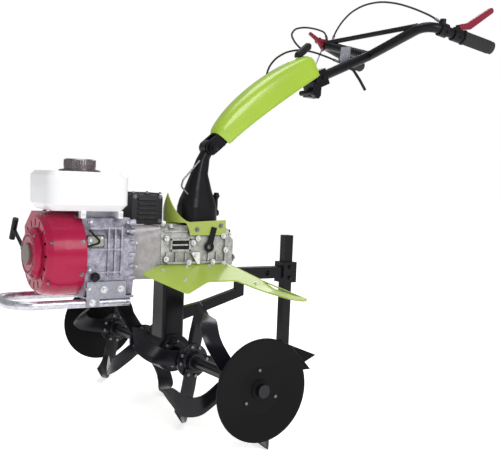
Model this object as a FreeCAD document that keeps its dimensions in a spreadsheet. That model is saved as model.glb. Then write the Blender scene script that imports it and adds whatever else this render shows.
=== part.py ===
import FreeCAD, Part
import math
import os
import Sketcher

# A walk-behind rotary tiller in millimetres. +X is the direction of travel, +Y the machine's
# left and +Z up. Every piece is placed from a datum on the floor straight below the middle of
# the tine shaft; axle_x then moves that datum so that the origin is the centre of the footprint.

DOC = FreeCAD.newDocument("RotaryTiller")
SHEET = DOC.addObject("Spreadsheet::Sheet", "Sizes")
Vector = FreeCAD.Vector
PIECES = []


# ---------------------------------------------------------------- driving sizes
DRIVING = (
    # rotor
    ("tine_radius", 155, "reach of a blade's tip from the shaft"),
    ("tines_per_star", 4, "blades bolted to one hub"),
    ("star_twist", 45, "turn between neighbouring stars, degrees"),
    ("star_inner", 146, "inner star's centre from the middle plane"),
    ("star_outer", 360, "outer star's centre from the middle plane"),
    ("blade_thickness", 6, "steel of a blade"),
    ("blade_width", 40, "blade's width at the hub"),
    ("blade_bend", 45, "bend radius of a blade"),
    ("blade_turn", 56, "how far the blade is bent out sideways, degrees"),
    ("tip_heel", 2, "blade's outer edge starts behind its stem, degrees"),
    ("tip_end", 30, "blade's squared tip ends behind its stem, degrees"),
    ("blade_slant", 40, "slant of the sideways bend to the blade's stem, degrees"),
    ("tip_point", 22, "blade's outer edge ends behind its stem, degrees"),
    ("hub_radius", 25, "star hub"),
    ("hub_length", 60, "star hub"),
    ("flange_radius", 46, "star hub's bolting flange"),
    ("flange_thickness", 8, "star hub's bolting flange"),
    ("shaft_radius", 15, "tine shaft"),
    ("shaft_proud", 8, "tine shaft's ends beyond the guard discs"),
    ("disc_place", 478, "guard disc's rim from the middle plane"),
    ("disc_radius", 122, "guard disc"),
    ("disc_dish", 8, "depth of the guard disc's dish"),
    ("disc_thickness", 4, "guard disc"),
    # leg and gear case
    ("leg_length_x", 66, "leg case, fore and aft"),
    ("leg_width", 74, "leg case, across"),
    ("leg_boss_radius", 52, "round foot of the leg case"),
    ("running_gap", 0.05, "radial clearance of a shaft in its bore"),
    ("fit_gap", 0.15, "radial clearance of what is clamped on a shaft or tube"),
    ("face_gap", 0.4, "gap between faces that slide past each other"),
    ("crank_height", 429, "engine shaft above the floor"),
    ("case_front", 60, "front of the gear case ahead of the axle"),
    ("case_rear", 150, "rear of the gear case behind the axle"),
    ("case_width", 122, "gear case, across"),
    ("case_below", 72, "gear case below the engine shaft"),
    ("case_above", 74, "gear case above the engine shaft"),
    ("cover_depth", 36, "rear cover of the gear case"),
    ("bell_radius", 84, "bell housing's flange"),
    ("bell_small_radius", 62, "bell housing where it meets the gear case"),
    ("bell_flange", 14, "thickness of the bell housing's flange"),
    # engine
    ("engine_rear", 154, "engine's rear face ahead of the axle"),
    ("crankcase_length", 132, "crankcase along the shaft"),
    ("engine_base", 102, "engine's feet below its shaft"),
    ("casting_wall", 9, "wall of the crankcase and the bell housing"),
    ("bore_radius", 34, "cylinder's bore"),
    ("crank_opening", 55, "opening for the crank in the crankcase's front wall"),
    ("lean", 25, "cylinder above the level, degrees"),
    ("barrel_start", 86, "cylinder's seat from the shaft"),
    ("barrel_length", 82, "finned barrel"),
    ("barrel_width", 92, "barrel across its fins' roots"),
    ("fin_reach", 14, "how far a fin stands out"),
    ("fin_thickness", 3, "cooling fin"),
    ("fin_count", 7, "cooling fins"),
    ("head_length", 24, "cylinder head"),
    ("rocker_length", 26, "rocker cover"),
    ("cleaner_length", 96, "air cleaner, fore and aft"),
    ("cleaner_width", 84, "air cleaner, across"),
    ("cleaner_height", 54, "air cleaner"),
    ("cleaner_lift", 154, "air cleaner's floor above the engine shaft"),
    ("cleaner_neck", 11, "radius of the neck under the air cleaner"),
    ("shroud_radius", 108, "fan shroud"),
    ("shroud_depth", 98, "fan shroud along the shaft"),
    ("shroud_wall", 3, "pressed sheet of the fan shroud"),
    ("sheet_wall", 2.5, "sheet of the tank, muffler, starter housing and cap"),
    ("filler_radius", 32, "filler opening under the cap"),
    ("louvre_count", 16, "air slots in the fan shroud"),
    ("louvre_width", 7, "one air slot"),
    ("duct_top", 104, "shroud's duct above the engine shaft"),
    ("duct_reach", 146, "shroud's duct towards the cylinder"),
    ("recoil_radius", 66, "starter housing"),
    ("recoil_depth", 18, "starter housing"),
    ("tank_length", 216, "fuel tank, fore and aft"),
    ("tank_width", 172, "fuel tank, across"),
    ("tank_height", 98, "fuel tank"),
    ("tank_corner", 32, "fuel tank's upright corners"),
    ("tank_crown", 11, "bevel of the fuel tank's upper rim"),
    ("tank_keel", 16, "bevel of the fuel tank's lower rim"),
    ("tank_lift", 113, "fuel tank's floor above the engine shaft"),
    ("tank_offset", 16, "fuel tank's middle towards the left"),
    ("cap_radius", 40, "fuel cap"),
    ("cap_height", 28, "fuel cap"),
    ("neck_radius", 54, "filler neck's flange"),
    ("plate_thickness", 6, "engine mounting plate"),
    ("plate_length", 130, "engine mounting plate, fore and aft"),
    ("flange_inside", 96.2, "engine mount's folded sides from the middle plane"),
    ("flange_sheet", 3, "engine mount's folded sides"),
    ("flange_rear", 22, "rear of the folded sides from the plate's rear"),
    ("flange_split", 93, "where the folded sides start to reach down"),
    ("flange_front", 128, "front of the folded sides from the plate's rear"),
    ("flange_top", 44, "engine mount's folded sides above its plate"),
    ("flange_drop", 20, "front of the folded sides below the plate"),
    ("muffler_length", 92, "muffler, fore and aft"),
    ("muffler_width", 96, "muffler, across"),
    ("muffler_height", 84, "muffler"),
    ("muffler_rear", 21, "muffler's rear face ahead of the axle"),
    ("guard_slots", 6, "air slots in the muffler's guard"),
    ("bumper_tube", 22, "diameter of the bumper's tube"),
    ("bumper_reach", 464, "bumper's front bend ahead of the axle"),
    ("bumper_half_width", 85, "bumper's legs from the middle plane"),
    ("bumper_bend", 60, "bend radius of the bumper"),
    # column and handlebar
    ("column_back", 80, "column's upright axis behind the axle"),
    ("pivot_seat_radius", 46, "machined seat under the column"),
    ("column_length", 110, "foot of the column, fore and aft"),
    ("column_width", 90, "foot of the column, across"),
    ("column_corner", 34, "corner radius of the column's foot"),
    ("pivot_radius", 14, "upright pin under the column"),
    ("pivot_height", 40, "upright pin under the column"),
    ("knuckle_x", 112, "handlebar's pivot behind the axle"),
    ("knuckle_z", 722, "handlebar's pivot above the floor"),
    ("knuckle_radius", 22, "eye at the top of the column"),
    ("knuckle_width", 30, "eye at the top of the column"),
    ("pivot_pin_radius", 8, "handlebar's pivot pin"),
    ("cheek_thickness", 6, "cheeks of the handlebar's arm"),
    ("arm_width", 36, "handlebar arm, across"),
    ("arm_height", 40, "handlebar arm, deep"),
    ("cover_width", 92, "moulded cover over the arm, across"),
    ("cover_wall", 3, "moulded cover"),
    ("cover_foot_x", 142, "cover's foot behind the axle"),
    ("cover_foot_z", 752, "cover's foot above the floor"),
    ("cover_end_x", 452, "cover's top end behind the axle"),
    ("cover_end_z", 990, "cover's top end above the floor"),
    ("cover_foot_slope", 56, "rise of the cover at its foot, degrees"),
    ("cover_end_slope", 27, "rise of the cover at its top end, degrees"),
    ("cover_foot_pull", 100, "how far the foot's slope carries on"),
    ("cover_end_pull", 110, "how far the end's slope carries back"),
    ("cover_foot_width", 58, "cover's foot, across"),
    ("cover_end_width", 84, "cover's top end, across"),
    ("cover_foot_depth", 54, "cover's foot, deep"),
    ("cover_depth_most", 92, "cover's middle, deep"),
    ("cover_end_depth", 66, "cover's top end, deep"),
    ("cover_stations", 9, "rings of the moulded cover"),
    ("elbow_x", 300, "elbow of the handlebar's arm behind the axle"),
    ("elbow_z", 880, "elbow of the handlebar's arm above the floor"),
    ("elbow_bend", 120, "bend radius of the handlebar's arm"),
    ("arm_end_z", 961, "end of the handlebar's arm above the floor"),
    ("tube_diameter", 30, "handlebar tube"),
    ("brace_diameter", 16, "cross brace of the handlebar"),
    ("bar_half_width", 250, "handlebar's bends from the middle plane"),
    ("grip_half_width", 300, "grip ends from the middle plane"),
    ("handle_reach", 915, "grip ends behind the axle"),
    ("handle_bend_x", 694, "handlebar's bends behind the axle"),
    ("handle_bend_z", 1114, "handlebar's bends above the floor"),
    ("handle_end_z", 1066, "grip ends above the floor"),
    ("stem_top_z", 1047, "top of the stem above the floor"),
    ("stem_foot_x", 482, "foot of the stem behind the axle"),
    ("stem_foot_z", 951, "foot of the stem above the floor"),
    ("bar_bend", 55, "bend radius of the handlebar tube"),
    ("lever_width", 22, "red hand lever, deep"),
    ("lever_thickness", 12, "red hand lever, across"),
    ("cable_diameter", 6, "outer of a control cable"),
    ("rod_diameter", 5, "thin control rods"),
    ("grip_length", 104, "rubber grip"),
    ("grip_wall", 4, "rubber grip"),
    ("grip_tail", 9.3, "how far back a grip's cap reaches past its tube"),
    # rear bar
    ("post_place", 399, "depth bar behind the axle"),
    ("post_side", 28, "depth bar, square"),
    ("post_top", 472, "top of the depth bar above the floor"),
    ("post_foot", 60, "foot of the depth bar above the floor"),
    ("hitch_side", 34, "hitch bar, square"),
    ("hitch_height", 360, "hitch bar's middle above the floor"),
    ("hitch_hole", 8.25, "radius of the cross hole in the hitch bar"),
    ("hitch_hole_x", 320, "cross hole in the hitch bar behind the axle"),
    ("clamp_wall", 10, "wall of the depth bar's clamp"),
    ("clamp_height", 62, "depth bar's clamp"),
    ("ridger_half_width", 105, "spread of the ridger's wings"),
    ("ridger_height", 150, "ridger's breast above its point"),
    ("ridger_length", 120, "ridger, fore and aft"),
    ("ridger_plate", 5, "steel of the ridger"),
    # fender
    ("fender_thickness", 3, "pressed sheet of the fender"),
    ("fender_front", 60, "fender's front edge ahead of the axle"),
    ("fender_front_z", 340, "fender's bend above the floor"),
    ("fender_root_z", 400, "fender's inner edge above the floor"),
    ("fender_rear", 238, "fender's rear edge behind the axle"),
    ("fender_rear_z", 326, "fender's outer tips above the floor"),
    ("fender_half_width", 345, "fender's wings from the middle plane"),
    ("fender_nose", 218, "half width of the fender's front edge"),
    ("fender_waist", 160, "half width of the fender's waist"),
    ("collar_wall", 3, "pressed collar round the column's foot"),
    ("collar_half_width", 66, "collar's sides from the middle plane"),
    ("collar_front", 25, "front of the collar's sides behind the axle"),
    ("collar_rear", 138, "rear of the collar's sides behind the axle"),
    ("collar_low_z", 478, "collar's lower edge above the floor"),
    ("collar_high_z", 520, "collar's rear upper edge above the floor"),
    ("collar_band", 36, "height of the collar's sides in front"),
    ("prow_reach", 14, "collar's prow ahead of the axle"),
    ("prow_z", 546, "collar's prow above the floor"),
    ("prow_top_z", 590, "collar's peak above the floor"),
)

for row, (alias, amount, note) in enumerate(DRIVING, start=1):
    SHEET.set("A%d" % row, note)
    SHEET.set("B%d" % row, str(amount))
    SHEET.setAlias("B%d" % row, alias)
DOC.recompute()


class Size:
    """A number that also knows the spreadsheet expression it comes from."""

    def __init__(self, amount, text):
        self.amount = float(amount)
        self.text = text

    def _join(self, other, sign, swap=False):
        left, right = (as_size(other), self) if swap else (self, as_size(other))
        amounts = {
            "+": lambda: left.amount + right.amount,
            "-": lambda: left.amount - right.amount,
            "*": lambda: left.amount * right.amount,
            "/": lambda: left.amount / right.amount,
        }
        return Size(amounts[sign](), "(%s %s %s)" % (left.text, sign, right.text))

    def __add__(self, other):
        return self._join(other, "+")

    def __radd__(self, other):
        return self._join(other, "+", swap=True)

    def __sub__(self, other):
        return self._join(other, "-")

    def __rsub__(self, other):
        return self._join(other, "-", swap=True)

    def __mul__(self, other):
        return self._join(other, "*")

    def __rmul__(self, other):
        return self._join(other, "*", swap=True)

    def __truediv__(self, other):
        return self._join(other, "/")

    def __neg__(self):
        return self._join(0, "-", swap=True)

    def __float__(self):
        return self.amount


def as_size(number):
    return number if isinstance(number, Size) else Size(number, "%.6f" % number)


def cosine(angle):
    return Size(math.cos(math.radians(float(angle))), "cos(%s)" % as_size(angle).text)


def sine(angle):
    return Size(math.sin(math.radians(float(angle))), "sin(%s)" % as_size(angle).text)


class Dimensions:
    """Reads a driving size by its alias."""

    def __getattr__(self, alias):
        return Size(SHEET.get(alias), "Sizes." + alias)


d = Dimensions()

# places worked out from the driving sizes
TIP_GAP = d.star_twist - d.tip_point + d.tip_heel
AXLE_Z = d.tine_radius * cosine(TIP_GAP / 2)
AXLE_X = (d.handle_reach + d.grip_tail - d.bumper_reach - d.bumper_tube / 2) / 2
ENGINE_FRONT = d.engine_rear + d.crankcase_length
SHROUD_FRONT = ENGINE_FRONT + d.shroud_depth
ENGINE_FLOOR = d.crank_height - d.engine_base
PLATE_TOP = ENGINE_FLOOR
PLATE_FLOOR = PLATE_TOP - d.plate_thickness
CASE_TOP = d.crank_height + d.case_above
CASE_FLOOR = d.crank_height - d.case_below
CRANKCASE_TOP = as_size(96)
TANK_MIDDLE = d.engine_rear + 15 + d.tank_length / 2
SEAT_HEIGHT = as_size(8)


# ---------------------------------------------------------------- ways to make things
ALONG_X = (0, 1, 0, 90)
ALONG_Y = (1, 0, 0, -90)
ALONG_Z = (0, 0, 1, 0)


def bind(piece, **sizes):
    for name, size in sizes.items():
        setattr(piece, name, float(size))
        if isinstance(size, Size):
            piece.setExpression(name, size.text)
    return piece


def place(piece, x=0, y=0, z=0, turn=ALONG_Z, datum=True):
    """Places a piece from the floor datum below the tine shaft."""
    if datum:
        x = AXLE_X + x
    axis = Vector(*turn[:3])
    piece.Placement = FreeCAD.Placement(Vector(float(x), float(y), float(z)), FreeCAD.Rotation(axis, turn[3]))
    for name, size in (("x", x), ("y", y), ("z", z)):
        if isinstance(size, Size):
            piece.setExpression("Placement.Base." + name, size.text)
    return piece


def node(label, piece):
    """Names a finished sub-part, which is then written out."""
    piece.Label = label
    PIECES.append(piece)
    return piece


def cylinder(name, radius, height, turn=ALONG_Z, **spot):
    piece = bind(DOC.addObject("Part::Cylinder", name), Radius=radius, Height=height)
    return place(piece, turn=turn, **spot)


def box(name, length, width, height, x=0, y=0, z=0, turn=ALONG_Z):
    """A block whose x, y and z give the middle of its floor."""
    piece = bind(DOC.addObject("Part::Box", name), Length=length, Width=width, Height=height)
    return place(piece, x=x - as_size(length) / 2, y=y - as_size(width) / 2, z=z, turn=turn)


def cut(name, base, *tools):
    piece = DOC.addObject("Part::Cut", name)
    piece.Base = base
    piece.Tool = tools[0] if len(tools) == 1 else fuse(name + "_tools", *tools)
    return piece


def fuse(name, *shapes):
    piece = DOC.addObject("Part::MultiFuse", name)
    piece.Shapes = list(shapes)
    piece.Refine = True
    return piece


def solid(name, shape):
    """A piece whose shape comes from Part's own functions, already in its place."""
    piece = DOC.addObject("Part::Feature", name)
    piece.Shape = shape
    piece.Placement = FreeCAD.Placement()
    return piece


def new_body(name):
    return DOC.addObject("PartDesign::Body", name)


def sketch_on(body, role, name, lift=0):
    sketch = body.newObject("Sketcher::SketchObject", name)
    plane = next(item for item in body.Origin.OriginFeatures if item.Role == role)
    sketch.AttachmentSupport = [(plane, "")]
    sketch.MapMode = "FlatFace"
    sketch.AttachmentOffset = FreeCAD.Placement(Vector(0, 0, float(lift)), FreeCAD.Rotation())
    if isinstance(lift, Size):
        sketch.setExpression("AttachmentOffset.Base.z", lift.text)
    return sketch


def pin_point(sketch, line, end, across, up):
    """Ties one end of a sketch line to its place from the sketch's origin."""
    for kind, size in (("DistanceX", across), ("DistanceY", up)):
        number = sketch.addConstraint(Sketcher.Constraint(kind, -1, 1, line, end, float(size)))
        if isinstance(size, Size):
            sketch.setExpression("Constraints[%d]" % number, size.text)


def outline(sketch, corners):
    """A closed outline of straight lines through the corners."""
    count = len(corners)
    ends = [Vector(float(across), float(up), 0) for across, up in corners]
    for i in range(count):
        sketch.addGeometry(Part.LineSegment(ends[i], ends[(i + 1) % count]), False)
    for i in range(count):
        sketch.addConstraint(Sketcher.Constraint("Coincident", i, 2, (i + 1) % count, 1))
    for i, (across, up) in enumerate(corners):
        pin_point(sketch, i, 1, across, up)
    return sketch


def ring(sketch, radius, across=0, up=0):
    """A circle in a sketch."""
    centre = Vector(float(across), float(up), 0)
    circle = sketch.addGeometry(Part.Circle(centre, Vector(0, 0, 1), float(radius)), False)
    number = sketch.addConstraint(Sketcher.Constraint("Radius", circle, float(radius)))
    if isinstance(radius, Size):
        sketch.setExpression("Constraints[%d]" % number, radius.text)
    pin_point(sketch, circle, 3, across, up)
    return sketch


def pad(body, sketch, length, name, midplane=False, back=False):
    feature = body.newObject("PartDesign::Pad", name)
    feature.Profile = sketch
    bind(feature, Length=length)
    feature.Midplane = midplane
    feature.Reversed = back
    return feature


def pocket(body, sketch, length, name, midplane=False, back=False):
    feature = body.newObject("PartDesign::Pocket", name)
    feature.Profile = sketch
    bind(feature, Length=length)
    feature.Midplane = midplane
    feature.Reversed = back
    return feature


def revolve(body, sketch, axis, name):
    feature = body.newObject("PartDesign::Revolution", name)
    feature.Profile = sketch
    feature.ReferenceAxis = (sketch, [axis])
    feature.Angle = 360
    return feature


def round_edges(body, feature, size, name, chosen, kind="PartDesign::Fillet"):
    """Rounds or bevels the edges of a feature that the test picks."""
    DOC.recompute()
    names = ["Edge%d" % (i + 1) for i, edge in enumerate(feature.Shape.Edges) if chosen(edge)]
    fillet = body.newObject(kind, name)
    fillet.Base = (feature, names)
    if kind.endswith("Fillet"):
        bind(fillet, Radius=size)
    else:
        bind(fillet, Size=size)
    return fillet


def runs_along(direction):
    """A test for straight edges along a direction."""
    aim = Vector(*direction)

    def test(edge):
        straight = edge.Curve.TypeId == "Part::GeomLine"
        return straight and abs(abs(edge.tangentAt(edge.FirstParameter).dot(aim)) - 1) < 1e-6
    return test


def bent_path(points, radii):
    """A wire of straight runs joined by tangent arcs."""
    edges = []
    here = points[0]
    for i in range(1, len(points) - 1):
        before = (points[i] - points[i - 1]).normalize()
        after = (points[i + 1] - points[i]).normalize()
        half_turn = before.getAngle(after) / 2
        radius = radii[i - 1]
        cut_back = radius * math.tan(half_turn)
        enter = points[i] - before * cut_back
        leave = points[i] + after * cut_back
        inward = (after - before).normalize()
        middle = points[i] + inward * (radius / math.cos(half_turn) - radius)
        edges.append(Part.LineSegment(here, enter).toShape())
        edges.append(Part.Arc(enter, middle, leave).toShape())
        here = leave
    edges.append(Part.LineSegment(here, points[-1]).toShape())
    return Part.Wire(edges)


def swept(path, section):
    """A solid swept along a wire from a closed section at its start."""
    pipe = Part.BRepOffsetAPI.MakePipeShell(path)
    pipe.setTransitionMode(1)
    pipe.add(section, False, False)
    pipe.build()
    pipe.makeSolid()
    return pipe.shape()


def tube_along(points, radii, radius):
    """A round bar or cable along bent runs."""
    path = bent_path(points, radii)
    aim = points[1] - points[0]
    return swept(path, Part.Wire(Part.makeCircle(radius, points[0], aim)))


def spot(x, y, z):
    """A point from the floor datum below the tine shaft."""
    return Vector(float(AXLE_X + x), float(y), float(z))


# ---------------------------------------------------------------- rotor
def tine_shaft():
    reach = d.disc_place + d.shaft_proud
    shaft = cylinder("tine_shaft", d.shaft_radius, 2 * reach, turn=ALONG_Y, y=-reach, z=AXLE_Z)
    return node("tine_shaft", shaft)


def blade_shape(side):
    """One hoe blade on +Z: a sickle outline cut from a strip that a slanted bend turns to one side."""
    radius = float(d.tine_radius)
    half = float(d.blade_width) / 2
    thick = float(d.blade_thickness)
    bend = float(d.blade_bend)
    turn = math.radians(float(d.blade_turn))
    slant = math.radians(float(d.blade_slant))
    seat = side * float(d.flange_thickness) / 2
    root = float(d.hub_radius) - 3
    start = radius * 0.42
    outward = Vector(-math.sin(slant), 0, math.cos(slant))
    across = Vector(math.cos(slant), 0, math.sin(slant))

    def spread(y, reach):
        return Vector(0, seat + side * y, 0) + outward * reach

    def bend_arc(inner):
        lift = bend - inner
        return [spread(bend - lift * math.cos(a), start + lift * math.sin(a)) for a in (0, turn / 2, turn)]

    rise = radius + thick - (start + bend * math.sin(turn))
    lean = Vector(0, side * rise * math.tan(turn), 0) + outward * rise
    near = bend_arc(0)
    far = bend_arc(thick)
    strip = Part.Wire([
        Part.LineSegment(spread(0, -radius), near[0]).toShape(),
        Part.Arc(*near).toShape(),
        Part.LineSegment(near[2], near[2] + lean).toShape(),
        Part.LineSegment(near[2] + lean, far[2] + lean).toShape(),
        Part.LineSegment(far[2] + lean, far[2]).toShape(),
        Part.Arc(far[2], far[1], far[0]).toShape(),
        Part.LineSegment(far[0], spread(thick, -radius)).toShape(),
        Part.LineSegment(spread(thick, -radius), spread(0, -radius)).toShape(),
    ])
    band = Part.Face(strip).extrude(across * 4 * radius)
    band.translate(across * -2 * radius)

    def rim_point(angle, reach=1.0):
        a = math.radians(float(angle))
        return Vector(-reach * radius * math.sin(a), 0, reach * radius * math.cos(a))

    heel = rim_point(d.tip_heel)
    point = rim_point(d.tip_point)
    crest = rim_point((d.tip_heel + d.tip_point) / 2)
    tip = rim_point(d.tip_end, 0.8)
    waist = radius * 0.5
    sickle = Part.Wire([
        Part.LineSegment(Vector(half, 0, root), Vector(half, 0, waist)).toShape(),
        Part.Arc(Vector(half, 0, waist), Vector(half * 0.75, 0, radius * 0.8), heel).toShape(),
        Part.Arc(heel, crest, point).toShape(),
        Part.LineSegment(point, tip).toShape(),
        Part.Arc(tip, rim_point(d.tip_end * 0.62, 0.7), Vector(-half, 0, waist)).toShape(),
        Part.LineSegment(Vector(-half, 0, waist), Vector(-half, 0, root)).toShape(),
        Part.LineSegment(Vector(-half, 0, root), Vector(half, 0, root)).toShape(),
    ])
    outline_block = Part.Face(sickle).extrude(Vector(0, 2 * radius, 0))
    outline_block.translate(Vector(0, -radius, 0))
    return band.common(outline_block)


def tine_star(label, y, phase):
    """A hub with its flange and blades; opposite blades bend to opposite sides."""
    across = Vector(0, 1, 0)
    bore = float(d.shaft_radius + d.fit_gap)
    long = float(d.hub_length)
    thick = float(d.flange_thickness)
    hub = Part.makeCylinder(float(d.hub_radius), long, across * (-long / 2), across)
    flange = Part.makeCylinder(float(d.flange_radius), thick, across * (-thick / 2), across)
    shape = hub.fuse(flange)
    count = int(float(d.tines_per_star))
    for i in range(count):
        blade = blade_shape(1 if i < count / 2 else -1)
        blade.rotate(Vector(0, 0, 0), across, phase + i * 360.0 / count)
        shape = shape.fuse(blade)
    shape = shape.cut(Part.makeCylinder(bore, 2 * long, across * -long, across)).removeSplitter()
    piece = solid(label, shape)
    return node(label, place(piece, y=y, z=AXLE_Z))


def guard_disc(label, side):
    """A dished round plate that closes the rotor's end."""
    body = new_body(label)
    rim = d.disc_radius
    floor = rim * 0.45
    sketch = sketch_on(body, "XY_Plane", label + "_profile")
    outline(sketch, [
        (d.shaft_radius + d.fit_gap, d.disc_dish),
        (floor, d.disc_dish),
        (rim - 6, 0),
        (rim, 0),
        (rim, d.disc_thickness),
        (rim - 6, d.disc_thickness),
        (floor, d.disc_dish + d.disc_thickness),
        (d.shaft_radius + d.fit_gap, d.disc_dish + d.disc_thickness),
    ])
    revolve(body, sketch, "V_Axis", label + "_dish")
    turn = ALONG_Z if side < 0 else (0, 0, 1, 180)
    place(body, y=side * d.disc_place, z=AXLE_Z, turn=turn)
    return node(label, body)


# ---------------------------------------------------------------- gear case and leg
def leg_case():
    """The upright case that carries the tine shaft, with its round foot."""
    body = new_body("leg_case")
    sketch = sketch_on(body, "XZ_Plane", "leg_profile")
    half = d.leg_length_x / 2
    outline(sketch, [(-half, 0), (half, 0), (half, CASE_FLOOR - AXLE_Z), (-half, CASE_FLOOR - AXLE_Z)])
    column = pad(body, sketch, d.leg_width, "leg_column", midplane=True)
    round_edges(body, column, 10, "leg_corners", runs_along((0, 0, 1)))
    foot = sketch_on(body, "XZ_Plane", "foot_profile")
    ring(foot, d.leg_boss_radius)
    pad(body, foot, d.leg_width + 12, "foot_boss", midplane=True)
    bore = sketch_on(body, "XZ_Plane", "bore_profile")
    ring(bore, d.shaft_radius + d.running_gap)
    pocket(body, bore, 2 * d.leg_width, "shaft_bore", midplane=True)
    place(body, z=AXLE_Z)
    return node("leg_case", body)


def gear_case():
    """The gear case, with its rounded top and cooling ribs."""
    body = new_body("gear_case")
    half = d.case_width / 2
    sketch = sketch_on(body, "YZ_Plane", "case_profile")
    outline(sketch, [
        (-half * 0.8, -d.case_below), (half * 0.8, -d.case_below),
        (half, -d.case_below * 0.4), (half, d.case_above * 0.6),
        (half * 0.75, d.case_above), (-half * 0.75, d.case_above),
        (-half, d.case_above * 0.6), (-half, -d.case_below * 0.4),
    ])
    block = pad(body, sketch, d.case_front + d.case_rear, "case_block")
    round_edges(body, block, 8, "case_corners", runs_along((1, 0, 0)))
    place(body, x=-d.case_rear, z=d.crank_height)
    return node("gear_case", body)


def gear_case_cover():
    body = new_body("gear_case_cover")
    half = d.case_width / 2
    foot = sketch_on(body, "YZ_Plane", "cover_foot")
    outline(foot, [(-half * 0.8, -d.case_below * 0.85), (half * 0.8, -d.case_below * 0.85),
                   (half * 0.8, d.case_above * 0.8), (-half * 0.8, d.case_above * 0.8)])
    top = sketch_on(body, "YZ_Plane", "cover_top", lift=-d.cover_depth)
    outline(top, [(-half * 0.5, -d.case_below * 0.5), (half * 0.5, -d.case_below * 0.5),
                  (half * 0.5, d.case_above * 0.45), (-half * 0.5, d.case_above * 0.45)])
    loft = body.newObject("PartDesign::AdditiveLoft", "cover_loft")
    loft.Profile = foot
    loft.Sections = [top]
    loft.Ruled = True
    place(body, x=-d.case_rear, z=d.crank_height)
    return node("gear_case_cover", body)


def bell_housing():
    """The cast bell between engine and gear case, open inside for the clutch."""
    length = d.engine_rear - d.case_front
    inner = d.bell_small_radius - d.casting_wall
    body = new_body("bell_housing")
    sketch = sketch_on(body, "XZ_Plane", "bell_profile")
    outline(sketch, [
        (0, inner), (0, d.bell_small_radius),
        (length - d.bell_flange - 20, d.bell_small_radius + 6),
        (length - d.bell_flange, d.bell_radius - 8),
        (length - d.bell_flange, d.bell_radius),
        (length, d.bell_radius), (length, inner),
    ])
    revolve(body, sketch, "H_Axis", "bell_turn")
    place(body, x=d.case_front, z=d.crank_height)
    return node("bell_housing", body)


# ---------------------------------------------------------------- engine
def crankcase():
    body = new_body("crankcase")
    base = d.engine_base
    cos_lean = cosine(d.lean)
    sin_lean = sine(d.lean)
    seat = d.barrel_start
    half_seat = d.barrel_width / 2 + d.fin_reach
    sketch = sketch_on(body, "YZ_Plane", "crankcase_profile")
    corners = [
        (-75, -base), (88, -base), (94, -base + 40), (94, 42), (62, CRANKCASE_TOP), (-10, CRANKCASE_TOP),
        (-seat * cos_lean + half_seat * sin_lean, seat * sin_lean + half_seat * cos_lean),
        (-seat * cos_lean - half_seat * sin_lean, seat * sin_lean - half_seat * cos_lean),
        (-88, -base + 40),
    ]
    outline(sketch, corners)
    block = pad(body, sketch, d.crankcase_length, "crankcase_block")
    round_edges(body, block, 6, "crankcase_corners", runs_along((1, 0, 0)))
    wall = d.casting_wall
    inside = sketch_on(body, "YZ_Plane", "crankcase_inside", lift=wall)
    outline(inside, inset(corners, wall))
    pocket(body, inside, d.crankcase_length - 2 * wall, "crankcase_hollow", back=True)
    front = sketch_on(body, "YZ_Plane", "crank_opening", lift=d.crankcase_length)
    ring(front, d.crank_opening)
    pocket(body, front, wall * 1.5, "crank_opening_cut")
    place(body, x=d.engine_rear, z=d.crank_height)
    return node("crankcase", body)


def cylinder_barrel():
    """The finned barrel, leaning up towards the machine's right."""
    body = new_body("cylinder_barrel")
    half = d.barrel_width / 2
    root = sketch_on(body, "XY_Plane", "barrel_profile")
    outline(root, [(-half, -half), (half, -half), (half, half), (-half, half)])
    pad(body, root, d.barrel_length, "barrel_core")
    reach = half + d.fin_reach
    step = d.barrel_length / d.fin_count
    fin = sketch_on(body, "XY_Plane", "fin_profile", lift=step / 2)
    outline(fin, [(-reach, -reach), (reach, -reach), (reach, reach), (-reach, reach)])
    first = pad(body, fin, d.fin_thickness, "first_fin")
    DOC.recompute()
    pattern = body.newObject("PartDesign::LinearPattern", "fin_row")
    pattern.Originals = [first]
    pattern.Direction = (root, ["N_Axis"])
    bind(pattern, Length=step * (d.fin_count - 1))
    pattern.Occurrences = int(float(d.fin_count))
    body.Tip = pattern
    bore = sketch_on(body, "XY_Plane", "bore_ring")
    ring(bore, d.bore_radius)
    pocket(body, bore, 2 * d.barrel_length, "barrel_bore", midplane=True)
    place_on_barrel(body, d.barrel_start)
    return node("cylinder_barrel", body)


def place_on_barrel(piece, along):
    """Places a piece on the leaning cylinder's axis, its own +Z pointing outwards."""
    middle = d.engine_rear + d.crankcase_length / 2
    turn = (1, 0, 0, 90 - float(d.lean))
    return place(piece, x=middle, y=-along * cosine(d.lean), z=d.crank_height + along * sine(d.lean), turn=turn)


def cylinder_head():
    body = new_body("cylinder_head")
    half = d.barrel_width / 2 + d.fin_reach
    sketch = sketch_on(body, "XY_Plane", "head_profile")
    outline(sketch, [(-half, -half), (half, -half), (half, half), (-half, half)])
    block = pad(body, sketch, d.head_length, "head_block")
    round_edges(body, block, 8, "head_corners", runs_along((0, 0, 1)))
    place_on_barrel(body, d.barrel_start + d.barrel_length)
    return node("cylinder_head", body)


def rocker_cover():
    body = new_body("rocker_cover")
    half = d.barrel_width / 2
    sketch = sketch_on(body, "XY_Plane", "rocker_profile")
    outline(sketch, [(-half, -half * 0.8), (half, -half * 0.8), (half, half * 0.8), (-half, half * 0.8)])
    block = pad(body, sketch, d.rocker_length, "rocker_block")
    round_edges(body, block, 10, "rocker_corners", runs_along((0, 0, 1)))
    place_on_barrel(body, d.barrel_start + d.barrel_length + d.head_length)
    return node("rocker_cover", body)


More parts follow.
